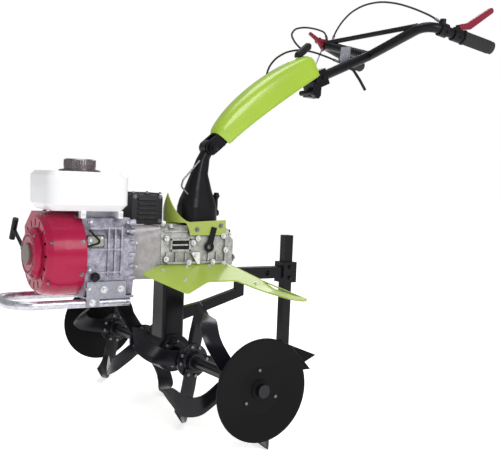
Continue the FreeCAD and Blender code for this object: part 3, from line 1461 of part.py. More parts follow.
def control_cable(label, route, *ends):
    """A control cable held at both ends, cut flush where it enters a piece."""
    points = [spot(*corner) for corner in route]
    radii = smooth_radii(points)
    shape = tube_along(points, radii, float(d.cable_diameter) / 2)
    print(label, "radii", ", ".join("%.0f" % radius for radius in radii))
    for name in ends:
        shape = shape.cut(DOC.getObject(name).Shape)
    shape = max(shape.Solids, key=lambda part: part.Volume)
    return node(label, solid(label, shape))


def control_cables():
    """The three cables between the cover, the levers and the handlebar's bends."""
    clutch = ((-742, -252, 1128), (-733, -228, 1152), (-721, -182, 1180), (-709, -120, 1204), (-703, -48, 1217),
              (-708, 26, 1217), (-716, 98, 1201), (-724, 164, 1176), (-736, 222, 1148), (-746, 256, 1124))
    reverse = ((-432, -6, 1034), (-417, -24, 1056), (-424, -58, 1086), (-463, -92, 1114), (-526, -126, 1132),
               (-598, -162, 1141), (-664, -196, 1143), (-703, -232, 1128))
    throttle = ((-330, -45, 926), (-333, -50, 952), (-341, -48, 980), (-360, -42, 1006), (-394, -36, 1028),
                (-440, -31, 1040), (-492, -26, 1038), (-546, -21, 1027), (-588, -17, 1016))
    control_cable("clutch_cable", clutch, "handlebar_tube", "cable_clamp")
    control_cable("reverse_cable", reverse, "handlebar_tube", "cable_gland", "reverse_lever")
    control_cable("throttle_cable", throttle, "handlebar_cover", "console_plate", "handlebar_stem")


def reverse_rod():
    """The thin rod from the clamp to the forked lever."""
    start = spot(-474, -8, 970)
    end = spot(-682, -228, 1096)
    shape = Part.makeCylinder(2.5, (end - start).Length, start, end - start)
    for name in ("handlebar_clamp", "handlebar_stem", "reverse_lever", "console_plate", "handlebar_tube",
                 "handlebar_arm", "handlebar_brace"):
        shape = shape.cut(DOC.getObject(name).Shape)
    shape = max(shape.Solids, key=lambda part: part.Volume)
    return node("reverse_rod", solid("reverse_rod", shape))


# ---------------------------------------------------------------- rear bar
def hitch_bar():
    """The square bar behind the gear case, with a cross hole for a pin."""
    length = d.post_place - d.post_side / 2 - d.clamp_wall - d.case_rear
    side = d.hitch_side
    low = d.hitch_height - side / 2
    bar = box("hitch_block", length, side, side, x=-d.case_rear - length / 2, z=low)
    hole = cylinder("hitch_hole", d.hitch_hole, 2 * side, turn=ALONG_Y, x=-d.hitch_hole_x, y=-side, z=d.hitch_height)
    return node("hitch_bar", cut("hitch_bar", bar, DOC.getObject("gear_case_cover"), hole))


def hitch_brace():
    """The flat strut from the leg's rear up to the hitch bar's underside."""
    leg = -float(d.leg_length_x) / 2
    under = float(d.hitch_height - d.hitch_side / 2)
    heel = leg - 180
    toe = heel - 24
    corners = [spot(leg, 0, 236), spot(leg, 0, 272), spot(leg - 68, 0, 285), spot(heel, 0, under - 26),
               spot(heel, 0, under), spot(toe, 0, under), spot(toe, 0, under - 46), spot(leg - 62, 0, 254)]
    strut = Part.Face(Part.makePolygon(corners + corners[:1])).extrude(Vector(0, 20, 0))
    strut.translate(Vector(0, -10, 0))
    return node("hitch_brace", solid("hitch_brace", strut))


def post_clamp():
    """The socket that holds the depth bar."""
    outer = d.post_side + 2 * d.clamp_wall
    low = d.hitch_height - d.clamp_height / 2
    block = box("clamp_block", outer, outer, d.clamp_height, x=-d.post_place, z=low)
    hole = box("clamp_hole", d.post_side + 2 * d.face_gap, d.post_side + 2 * d.face_gap, 2 * d.clamp_height,
               x=-d.post_place, z=low - d.clamp_height / 2)
    return node("post_clamp", cut("post_clamp", block, hole))


def depth_bar():
    bar = box("depth_bar", d.post_side, d.post_side, d.post_top - d.post_foot, x=-d.post_place, z=d.post_foot)
    return node("depth_bar", bar)


def ridger():
    """The ridger at the foot of the depth bar: a breast rib between two swept wings."""
    post_x = -float(d.post_place)
    front = post_x + float(d.ridger_length) * 0.6
    rear = post_x - float(d.ridger_length) * 0.4
    wide = float(d.ridger_half_width)
    high = float(d.ridger_height)
    nose = spot(front, 0, 0)
    breast = spot(post_x + float(d.post_side) / 2 + 6, 0, high)
    inside = spot(rear, 0, 0)
    wings = [sheet([nose, breast, spot(rear, side * wide, high * 0.8)], float(d.ridger_plate), inside)
             for side in (-1, 1)]
    heel = post_x - float(d.post_side) / 2
    rib = Part.Face(Part.makePolygon([
        nose, spot(post_x + 20, 0, high), spot(heel, 0, high * 0.9), spot(heel, 0, 0), nose,
    ])).extrude(Vector(0, 12, 0))
    rib.translate(Vector(0, -6, 0))
    shape = wings[0].fuse([wings[1], rib]).cut(DOC.getObject("depth_bar").Shape)
    box_below = Part.makeBox(2000, 2000, 100, Vector(-1000, -1000, -100))
    shape = shape.cut(box_below).removeSplitter()
    return node("ridger", solid("ridger", shape))


# ---------------------------------------------------------------- fender
def fender():
    """The two pressed wings over the rotor, which slope down and out from the gear case."""
    thick = float(d.fender_thickness)
    wide = float(d.fender_half_width)
    nose = float(d.fender_nose)
    waist = float(d.fender_waist)
    front = float(d.fender_front)
    rear = float(d.fender_rear)
    inside = float(d.case_width) / 2
    root = float(d.fender_root_z)
    slope = [(inside - 8, root + 3), (nose, float(d.fender_front_z)), (wide + 10, float(d.fender_rear_z))]
    below = [spot(front, y, z) for y, z in slope]
    above = [spot(front, y, z + thick) for y, z in reversed(slope)]
    ring_points = below + above
    strip = Part.Face(Part.makePolygon(ring_points + ring_points[:1])).extrude(Vector(-front - rear, 0, 0))
    plan = [(front, inside - 4), (front, nose), (-30, waist), (-120, waist), (-165, waist + 70),
            (-190, wide - 30), (-rear + 20, wide), (-rear, wide - 30), (-rear, waist), (-float(d.case_rear), inside - 4)]
    corners = [spot(x, y, 0) for x, y in plan]
    block = Part.Face(Part.makePolygon(corners + corners[:1])).extrude(Vector(0, 0, 1000))
    wing = strip.common(block).cut(DOC.getObject("gear_case").Shape)
    wing = max(wing.Solids, key=lambda part: part.Volume)
    other = wing.mirror(Vector(0, 0, 0), Vector(0, 1, 0))
    return node("fender", solid("fender", Part.makeCompound([wing, other])))


def build():
    tine_shaft()
    stars = (("tine_star_right_outer", -d.star_outer), ("tine_star_right_inner", -d.star_inner),
             ("tine_star_left_inner", d.star_inner), ("tine_star_left_outer", d.star_outer))
    for i, (label, y) in enumerate(stars):
        tine_star(label, y, float(TIP_GAP) / 2 + float(d.tip_point) + (i + 1) * float(d.star_twist))
    guard_disc("guard_disc_left", 1)
    guard_disc("guard_disc_right", -1)
    leg_case()
    gear_case()
    gear_case_cover()
    bell_housing()
    crankcase()
    cylinder_barrel()
    cylinder_head()
    rocker_cover()
    fan_shroud()
    recoil_cover()
    recoil_cap()
    recoil_handle()
    fuel_tank()
    fuel_cap()
    tank_bracket()
    air_cleaner()
    muffler()
    engine_mount()
    front_bumper()
    column_pivot()
    column()
    DOC.recompute()
    exhaust_pipe()
    column_lock()
    selector_rod()
    column_collar()
    swing_latch()
    throttle_lever()
    handlebar_arm()
    handlebar_cover()
    handlebar_tube()
    handlebar_stem()
    handlebar_brace()
    handlebar_clamp()
    grip("grip_left", 1)
    grip("grip_right", -1)
    clutch_lever()
    lever_clamp()
    cable_clamp()
    reverse_lever()
    console_plate()
    shift_rod()
    clamp_lever()
    cable_gland()
    control_cables()
    reverse_rod()
    hitch_bar()
    hitch_brace()
    post_clamp()
    depth_bar()
    DOC.recompute()
    ridger()
    fender()


def write_parts():
    """Checks every object, then writes each sub-part."""
    DOC.recompute()
    for item in DOC.Objects:
        if "Invalid" in item.State or "Error" in item.State:
            raise RuntimeError("%s did not build: %s" % (item.Label, item.State))
    for piece in PIECES:
        if piece.Shape.isNull() or not piece.Shape.isValid():
            raise RuntimeError("%s has no sound shape" % piece.Label)
    os.makedirs("parts", exist_ok=True)
    for piece in PIECES:
        piece.Shape.exportStep("parts/%s.step" % piece.Label)


build()
write_parts()
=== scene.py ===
"""Looks of a walk-behind rotary tiller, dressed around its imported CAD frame.

Sizes are in metres in the frame's own axes: +X is the direction of travel, +Y the machine's left and +Z up.
Places come from the boxes of the CAD nodes, so a change in the frame carries the added pieces with it.
"""

import logging
import math
from collections.abc import Iterable, Sequence
from dataclasses import dataclass
from enum import Enum

import bmesh
import bpy
from mathutils import Matrix, Vector
from mathutils.bvhtree import BVHTree


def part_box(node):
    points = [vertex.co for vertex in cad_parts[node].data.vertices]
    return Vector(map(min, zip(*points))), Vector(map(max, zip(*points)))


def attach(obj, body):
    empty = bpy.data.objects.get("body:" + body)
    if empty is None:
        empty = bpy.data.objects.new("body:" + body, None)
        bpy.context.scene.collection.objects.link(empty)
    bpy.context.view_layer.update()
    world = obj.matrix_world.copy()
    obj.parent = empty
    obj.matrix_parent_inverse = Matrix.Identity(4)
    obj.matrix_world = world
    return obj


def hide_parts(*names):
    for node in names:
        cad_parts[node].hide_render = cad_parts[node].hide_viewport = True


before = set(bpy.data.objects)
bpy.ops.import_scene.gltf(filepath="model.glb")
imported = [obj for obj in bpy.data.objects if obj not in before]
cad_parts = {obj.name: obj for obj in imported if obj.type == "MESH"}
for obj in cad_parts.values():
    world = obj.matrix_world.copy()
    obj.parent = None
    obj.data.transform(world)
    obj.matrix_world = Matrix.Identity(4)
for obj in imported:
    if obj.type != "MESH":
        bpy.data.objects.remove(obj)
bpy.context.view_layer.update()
LOG = logging.getLogger("tiller")
UP = Vector((0.0, 0.0, 1.0))
LEFT = Vector((0.0, 1.0, 0.0))
AHEAD = Vector((1.0, 0.0, 0.0))
Color = tuple[float, float, float]
Point = tuple[float, float, float]
Pair = tuple[float, float]
Pairs = tuple[Pair, ...]
Sizes = tuple[float, ...]


class Body(Enum):
    """The bodies of the frame that added pieces ride on."""

    ROOT = "root"
    ROTOR = "rotor"
    HANDLEBAR = "handlebar"


class Slot(Enum):
    """The material slots of the record; each finish names one of them."""

    BLACK = "black_enamel"
    DISC = "disc_black"
    LIME = "lime_paint"
    LIME_PLASTIC = "lime_plastic"
    RED = "red_paint"
    WHITE = "tank_white"
    CAST = "cast_aluminium"
    ZINC = "zinc_plate"
    PLASTIC = "black_plastic"
    MUFFLER = "muffler_black"
    GRIP = "grip_rubber"
    LEVER = "lever_red"
    CABLE = "cable_sheath"


# ---------------------------------------------------------------- shader maths


class Signal:
    """A node's output, with arithmetic that adds Math nodes."""

    def __init__(self, graph: "Graph", socket: bpy.types.NodeSocket) -> None:
        """Wraps one output socket of a graph."""
        self.graph = graph
        self.socket = socket

    def _maths(self, operation: str, first: "Term", second: "Term") -> "Signal":
        """Adds one Math node.

        Args:
            operation: The Math node's operation.
            first: Its first value.
            second: Its second value.

        Returns:
            The node's value.
        """
        return self.graph.add("ShaderNodeMath", {"operation": operation}, {0: first, 1: second})

    def __add__(self, other: "Term") -> "Signal":
        """Self plus other."""
        return self._maths("ADD", self, other)

    def __radd__(self, other: "Term") -> "Signal":
        """Other plus self."""
        return self._maths("ADD", other, self)

    def __sub__(self, other: "Term") -> "Signal":
        """Self less other."""
        return self._maths("SUBTRACT", self, other)

    def __rsub__(self, other: "Term") -> "Signal":
        """Other less self."""
        return self._maths("SUBTRACT", other, self)

    def __mul__(self, other: "Term") -> "Signal":
        """Self times other."""
        return self._maths("MULTIPLY", self, other)

    def __rmul__(self, other: "Term") -> "Signal":
        """Other times self."""
        return self._maths("MULTIPLY", other, self)

    def between(self, low: float, high: float) -> "Signal":
        """Rises smoothly from 0 at one value to 1 at another.

        Args:
            low: The value that gives 0.
            high: The value that gives 1.

        Returns:
            The smooth step.
        """
        settings = {"interpolation_type": "SMOOTHSTEP"}
        values = {"Value": self, "From Min": low, "From Max": high}
        return self.graph.add("ShaderNodeMapRange", settings, values)


Term = Signal | float


class Graph:
    """The node tree of one material."""

    def __init__(self, title: str) -> None:
        """Starts an empty material of that name."""
        self.material = bpy.data.materials.new(title)
        self.material.use_nodes = True
        self.tree = self.material.node_tree
        self.tree.nodes.clear()

    def add(
        self,
        kind: str,
        settings: dict[str, object] | None = None,
        values: dict[int | str, object] | None = None,
        output: int | str = 0,
    ) -> Signal:
        """Adds one node.

        Args:
            kind: The node's type.
            settings: Its own settings, set first.
            values: Its sockets by index or name, each a number, a colour or a signal.
            output: The output wanted, by index or name.

        Returns:
            That output.
        """
        node = self.tree.nodes.new(kind)
        for setting, amount in (settings or {}).items():
            setattr(node, setting, amount)
        for socket, amount in (values or {}).items():
            if isinstance(amount, Signal):
                self.tree.links.new(amount.socket, node.inputs[socket])
            else:
                node.inputs[socket].default_value = amount
        return Signal(self, node.outputs[output])

    def place(self, stretch: Point = (1.0, 1.0, 1.0)) -> Signal:
        """The point on the object, in metres, stretched along its axes."""
        spot = self.add("ShaderNodeTexCoord", output="Object")
        return self.add("ShaderNodeVectorMath", {"operation": "MULTIPLY"}, {0: spot, 1: stretch})

    def noise(
        self, scale: float, detail: float = 3.0, rough: float = 0.55, stretch: Point = (1.0, 1.0, 1.0),
    ) -> Signal:
        """Smooth noise from 0 to 1.

        Args:
            scale: Features to the metre.
            detail: Octaves.
            rough: How strong the finer octaves are.
            stretch: Scale along each axis.

        Returns:
            The noise.
        """
        values = {"Vector": self.place(stretch), "Scale": scale, "Detail": detail, "Roughness": rough}
        return self.add("ShaderNodeTexNoise", None, values)

    def cells(self, scale: float, stretch: Point = (1.0, 1.0, 1.0)) -> Signal:
        """A random grey for each cell of a Voronoi pattern."""
        values = {"Vector": self.place(stretch), "Scale": scale}
        color = self.add("ShaderNodeTexVoronoi", None, values, "Color")
        return self.add("ShaderNodeSeparateColor", None, {0: color})

    def mix(self, share: Term, first: "Paint", second: "Paint") -> Signal:
        """Mixes two colours.

        Args:
            share: 0 for the first, 1 for the second.
            first: A colour or a signal.
            second: A colour or a signal.

        Returns:
            The mixed colour.
        """
        pair = [paint if isinstance(paint, Signal) else (*paint, 1.0) for paint in (first, second)]
        return self.add("ShaderNodeMix", {"data_type": "RGBA"}, {0: share, 6: pair[0], 7: pair[1]}, 2)

    def rounded(self, radius: float) -> Signal:
        """The surface's direction with its sharp edges softened."""
        return self.add("ShaderNodeBevel", {"samples": 4}, {"Radius": radius})

    def edges(self, rounded: Signal) -> Signal:
        """1 on sharp edges and 0 on flats, from the softened direction."""
        normal = self.add("ShaderNodeNewGeometry", output="Normal")
        product = {"operation": "DOT_PRODUCT"}
        along = self.add("ShaderNodeVectorMath", product, {0: rounded, 1: normal}, "Value")
        return (1.0 - along).between(0.01, 0.25)

    def facing_up(self) -> Signal:
        """1 where the surface faces up, 0 where it is upright or faces down."""
        normal = self.add("ShaderNodeNewGeometry", output="Normal")
        return self.add("ShaderNodeSeparateXYZ", None, {0: normal}, "Z").between(0.2, 0.95)

    def bump(self, height: Signal, depth: float, normal: Signal) -> Signal:
        """The direction of a surface with a relief of that depth, in metres."""
        values = {"Height": height, "Distance": depth, "Strength": 1.0, "Normal": normal}
        return self.add("ShaderNodeBump", None, values)

    def surface(self, **values: object) -> None:
        """Ends the tree in one Principled shader; an underscore in a name stands for a space."""
        sockets = {name.replace("_", " "): amount for name, amount in values.items()}
        shader = self.add("ShaderNodeBsdfPrincipled", None, sockets)
        self.add_output(shader)

    def add_output(self, shader: Signal) -> None:
        """Links a shader to the material's output."""
        node = self.tree.nodes.new("ShaderNodeOutputMaterial")
        self.tree.links.new(shader.socket, node.inputs["Surface"])


Paint = Signal | Color


# ---------------------------------------------------------------- finishes


@dataclass(frozen=True)
class Finish:
    """What every finish has: its name, its slot in the record, its colour and its gloss."""

    title: str
    slot: Slot
    color: Color
    roughness: float
    edge: float = 0.0010
    specular: float = 0.5

    def material(self) -> bpy.types.Material:
        """The finish's material, made when it is first asked for."""
        made = bpy.data.materials.get(self.title)
        if made is None:
            graph = Graph(self.title)
            self.paint(graph)
            made = graph.material
        return made

    def paint(self, graph: Graph) -> None:
        """Fills the material's tree; each kind of finish has its own."""
        raise NotImplementedError

    def shade(self, amount: float) -> Color:
        """The finish's colour, lighter above 1 and darker below it."""
        return tuple(min(channel * amount, 1.0) for channel in self.color)


@dataclass(frozen=True)
class Enamel(Finish):
    """Sprayed paint: a slight orange peel, dust on what faces up and thin wear on the edges, which on the
    blades is also a painted sheen.
    """

    peel: float = 0.00004
    dust: float = 0.10
    dust_color: Color = (0.30, 0.28, 0.25)
    wear: float = 0.35
    edge_wear_and_sheen_color: Color = (0.30, 0.30, 0.33)
    coat: float = 0.0
    coat_roughness: float = 0.06
    shades: Pair = (0.86, 1.12)
    tone_scale: float = 7.0
    speck_scale: float = 160.0
    speck_range: Pair = (0.35, 0.8)
    wear_scale: float = 60.0
    wear_range: Pair = (0.42, 0.62)
    peel_scale: float = 420.0

    def paint(self, graph: Graph) -> None:
        """Paint, dust, edge wear with a painted sheen on the blades, and peel."""
        tone = graph.noise(self.tone_scale, 4.0)
        color = graph.mix(tone, *map(self.shade, self.shades))
        specks = graph.noise(self.speck_scale, 5.0, 0.7)
        dusty = graph.facing_up() * specks.between(*self.speck_range) * self.dust
        color = graph.mix(dusty, color, self.dust_color)
        rounded = graph.rounded(self.edge)
        # Edge colour: worn paint, and on the blades also a painted sheen along the edges.
        scuffs = graph.noise(self.wear_scale, 4.0, 0.65).between(*self.wear_range)
        worn = graph.edges(rounded) * scuffs * self.wear
        color = graph.mix(worn, color, self.edge_wear_and_sheen_color)
        gloss = self.roughness * (0.85 + 0.3 * tone) + dusty * 0.6
        peel = graph.noise(self.peel_scale, 2.0)
        graph.surface(
            Base_Color=color,
            Roughness=gloss,
            Normal=graph.bump(peel, self.peel, rounded),
            Coat_Weight=self.coat,
            Coat_Roughness=self.coat_roughness,
            Specular_IOR_Level=self.specular,
        )


@dataclass(frozen=True)
class Casting(Finish):
    """Sand-cast aluminium: grain, mottled oxide and painted shade that darkens its recesses."""

    dark: Color = (0.20, 0.20, 0.24)
    grain: float = 0.00022
    metal: float = 0.55
    mottle: float = 0.75
    bright_edge: Color = (0.82, 0.82, 0.85)
    recess_shade_color: Color = (0.05, 0.05, 0.06)
    recess_shade_reach: float = 0.02
    blotch_scale: float = 55.0
    fine_scale: float = 330.0
    relief_scale: float = 1100.0
    shade_range: Pair = (0.36, 0.62)

    def paint(self, graph: Graph) -> None:
        """Grain, mottling, bright edges and painted shade in the recesses."""
        blotch = graph.noise(self.blotch_scale, 6.0, 0.68)
        fine = graph.noise(self.fine_scale, 4.0, 0.7)
        shade = (0.6 * blotch + 0.4 * fine).between(*self.shade_range)
        color = graph.mix(shade * self.mottle + (1.0 - self.mottle), self.dark, self.color)
        rounded = graph.rounded(self.edge)
        color = graph.mix(graph.edges(rounded) * 0.5, color, self.bright_edge)
        # Painted shade: the colour goes towards near black where ambient occlusion finds the surface shut in.
        reach = {"Distance": self.recess_shade_reach}
        shading_occlusion = graph.add("ShaderNodeAmbientOcclusion", {"samples": 4}, reach, "AO")
        color = graph.mix((1.0 - shading_occlusion) * 0.7, color, self.recess_shade_color)
        relief = graph.noise(self.relief_scale, 3.0, 0.6) * 0.5 + fine
        graph.surface(
            Base_Color=color,
            Metallic=self.metal,
            Roughness=self.roughness * (0.8 + 0.4 * fine),
            Normal=graph.bump(relief, self.grain, rounded),
        )


@dataclass(frozen=True)
class Plating(Finish):
    """Zinc on steel: a faint spangle, drawn streaks and a dull bloom."""

    spangle: float = 260.0
    bloom: float = 0.35
    metal: float = 0.95
    shades: Pair = (0.84, 1.12)
    bloom_shade: float = 0.55
    cloud_scale: float = 26.0
    bloom_range: Pair = (0.45, 0.75)
    gloss_range: Pair = (0.4, 0.8)
    scratch_scale: float = 900.0
    scratch_stretch: Point = (0.06, 1.0, 1.0)
    scratch_depth: float = 0.000012

    def paint(self, graph: Graph) -> None:
        """Spangle, streaks and bloom."""
        cell = graph.cells(self.spangle)
        cloud = graph.noise(self.cloud_scale, 5.0, 0.6)
        color = graph.mix(cell, *map(self.shade, self.shades))
        bloom = cloud.between(*self.bloom_range) * self.bloom
        color = graph.mix(bloom, color, self.shade(self.bloom_shade))
        rounded = graph.rounded(self.edge)
        scratches = graph.noise(self.scratch_scale, 2.0, 0.5, self.scratch_stretch)
        gloss = self.roughness + 0.12 * cell + 0.2 * cloud.between(*self.gloss_range)
        graph.surface(
            Base_Color=color,
            Metallic=self.metal,
            Roughness=gloss,
            Normal=graph.bump(scratches, self.scratch_depth, rounded),
        )


@dataclass(frozen=True)
class Moulding(Finish):
    """Moulded plastic: fine grain, a slow drift of tone and lighter rubbed edges."""

    grain: float = 0.00003
    grain_scale: float = 1500.0
    coat: float = 0.0
    coat_roughness: float = 0.08
    shades: Pair = (0.88, 1.10)
    rubbed_shade: float = 1.7
    tone_scale: float = 9.0
    rub_scale: float = 80.0
    rub_range: Pair = (0.4, 0.7)

    def paint(self, graph: Graph) -> None:
        """Tone, grain and rubbed edges."""
        tone = graph.noise(self.tone_scale, 3.0)
        color = graph.mix(tone, *map(self.shade, self.shades))
        rounded = graph.rounded(self.edge)
        rubbed = graph.edges(rounded) * graph.noise(self.rub_scale, 4.0).between(*self.rub_range)
        color = graph.mix(rubbed * 0.25, color, self.shade(self.rubbed_shade))
        grain = graph.noise(self.grain_scale, 2.0, 0.5)
        graph.surface(
            Base_Color=color,
            Roughness=self.roughness * (0.9 + 0.2 * tone),
            Normal=graph.bump(grain, self.grain, rounded),
            Coat_Weight=self.coat,
            Coat_Roughness=self.coat_roughness,
            Specular_IOR_Level=self.specular,
        )


@dataclass(frozen=True)
class Rubber(Finish):
    """Soft black rubber with a chalky bloom and a fine moulded skin."""

    bloom: float = 0.2
    bloom_shade: float = 3.0
    chalk_scale: float = 45.0
    chalk_range: Pair = (0.45, 0.75)
    skin_scale: float = 1300.0
    skin_depth: float = 0.00005

    def paint(self, graph: Graph) -> None:
        """Bloom and skin."""
        chalk = graph.noise(self.chalk_scale, 5.0, 0.65).between(*self.chalk_range) * self.bloom
        color = graph.mix(chalk, self.color, self.shade(self.bloom_shade))
        skin = graph.noise(self.skin_scale, 2.0)
        graph.surface(
            Base_Color=color,
            Roughness=self.roughness + 0.2 * chalk,
            Normal=graph.bump(skin, self.skin_depth, graph.rounded(self.edge)),
            Specular_IOR_Level=self.specular,
        )


BLACK_ENAMEL = Enamel(
    "black_enamel_paint", Slot.BLACK, (0.0060, 0.0056, 0.0078), 0.33, specular=0.18, dust=0.04,
    dust_color=(0.10, 0.10, 0.11), edge_wear_and_sheen_color=(0.10, 0.10, 0.12),
)
# The blades' strong blue-grey edge colour is partly wear and partly a painted sheen along their edges.
BLADE_ENAMEL = Enamel(
    "blade_enamel_paint", Slot.BLACK, (0.0070, 0.0070, 0.0105), 0.25, specular=0.28, wear=0.8, dust=0.05,
    dust_color=(0.08, 0.08, 0.10), edge_wear_and_sheen_color=(0.16, 0.16, 0.19), peel=0.0001,
)
DISC_ENAMEL = Enamel(
    "disc_enamel_paint", Slot.DISC, (0.0050, 0.0046, 0.0050), 0.50, specular=0.09, wear=0.5, dust=0.03,
    dust_color=(0.05, 0.05, 0.05), edge_wear_and_sheen_color=(0.05, 0.05, 0.055),
)
LIME_PAINT = Enamel(
    "lime_green_paint", Slot.LIME, (0.350, 0.475, 0.042), 0.34, dust=0.22, dust_color=(0.50, 0.52, 0.30),
    wear=0.30, edge_wear_and_sheen_color=(0.62, 0.68, 0.30), coat=0.35,
)
LIME_PLASTIC = Moulding(
    "lime_green_moulding", Slot.LIME_PLASTIC, (0.330, 0.490, 0.034), 0.33, coat=0.3, grain=0.00001,
)
RED_PAINT = Enamel(
    "crimson_paint", Slot.RED, (0.370, 0.006, 0.050), 0.24,
    specular=0.22, dust=0.06, dust_color=(0.55, 0.25, 0.30), wear=0.5,
    edge_wear_and_sheen_color=(0.75, 0.35, 0.42), coat=0.12,
)
TANK_PAINT = Enamel(
    "white_tank_paint", Slot.WHITE, (0.84, 0.84, 0.86), 0.30, dust=0.10, dust_color=(0.62, 0.61, 0.60),
    wear=0.1, edge_wear_and_sheen_color=(0.6, 0.6, 0.6), coat=0.4,
)
COLLAR_PAINT = Enamel(
    "pale_green_paint", Slot.LIME, (0.350, 0.440, 0.075), 0.34, dust=0.25, dust_color=(0.50, 0.52, 0.34),
    wear=0.30, edge_wear_and_sheen_color=(0.62, 0.68, 0.36), coat=0.3,
)
CAST_ALUMINIUM = Casting(
    "sand_cast_aluminium", Slot.CAST, (0.46, 0.445, 0.53), 0.44, dark=(0.085, 0.080, 0.110),
)
GEAR_CASTING = Casting(
    "dull_cast_aluminium", Slot.CAST, (0.55, 0.55, 0.51), 0.46, dark=(0.13, 0.13, 0.125), metal=0.4,
)
SMOOTH_CASTING = Casting(
    "smooth_cast_aluminium", Slot.CAST, (0.44, 0.415, 0.42), 0.40,
    dark=(0.20, 0.185, 0.20), mottle=0.5, grain=0.0001,
    metal=0.4,
)
ZINC_PLATE = Plating("zinc_plating", Slot.ZINC, (0.37, 0.375, 0.43), 0.32, metal=0.7)
GALVANISED = Plating("galvanised_tube", Slot.ZINC, (0.58, 0.58, 0.64), 0.24, spangle=120.0, bloom=0.25)
# Near white, far paler than the other plating: the stays' zinc with a painted glint.
GLINT_WHITE_STAY = Plating(
    "galvanised_stay_painted_glint", Slot.ZINC, (0.86, 0.86, 0.86), 0.30, spangle=200.0, bloom=0.1, metal=0.5,
)
BRIGHT_BOLT = Plating("bright_bolt_plating", Slot.ZINC, (0.80, 0.80, 0.82), 0.22, spangle=900.0, bloom=0.15)
DULL_BOLT = Plating("dull_bolt_plating", Slot.ZINC, (0.24, 0.24, 0.27), 0.32, spangle=900.0, bloom=0.4)
OLIVE_CAP = Enamel(
    "olive_cap_paint", Slot.ZINC, (0.150, 0.110, 0.085), 0.42,
    dust=0.3, wear=0.6, edge_wear_and_sheen_color=(0.35, 0.30, 0.26),
)
THROTTLE_PLATE = Plating("throttle_plate_plating", Slot.ZINC, (0.30, 0.33, 0.27), 0.36, bloom=0.5, metal=0.6)
BLACK_PLASTIC = Moulding("black_moulding", Slot.PLASTIC, (0.0070, 0.0068, 0.0082), 0.42, specular=0.2)
CAP_METAL = Plating("dark_cap_plating", Slot.PLASTIC, (0.20, 0.175, 0.185), 0.22, spangle=700.0, bloom=0.4)
MUFFLER_PAINT = Enamel(
    "heatproof_black_paint", Slot.MUFFLER, (0.020, 0.019, 0.022), 0.5, peel=0.0002, dust=0.45, specular=0.3,
    dust_color=(0.20, 0.19, 0.20), wear=0.8,
)
GRIP_RUBBER = Rubber("grip_rubber", Slot.GRIP, (0.0070, 0.0066, 0.0080), 0.56, specular=0.12)
CABLE_SHEATH = Rubber("cable_sheath", Slot.CABLE, (0.0095, 0.0095, 0.0105), 0.42, edge=0.0003, specular=0.35)
LEVER_RED = Moulding("red_lever_moulding", Slot.LEVER, (0.21, 0.014, 0.032), 0.36, coat=0.05, specular=0.3)


# ---------------------------------------------------------------- mesh building


def seat(origin: Vector, axis: Vector, spin: float = 0.0) -> Matrix:
    """A place whose Z axis points along a direction.

    Args:
        origin: Its origin.
        axis: The direction of its Z axis.
        spin: A turn about that axis, in radians.

    Returns:
        The place.
    """
    turn = UP.rotation_difference(axis.normalized()).to_matrix().to_4x4()
    return Matrix.Translation(origin) @ turn @ Matrix.Rotation(spin, 4, "Z")


def moved(place: Matrix, x: float = 0.0, y: float = 0.0, z: float = 0.0) -> Matrix:
    """A place moved along its own axes."""
    return place @ Matrix.Translation((x, y, z))


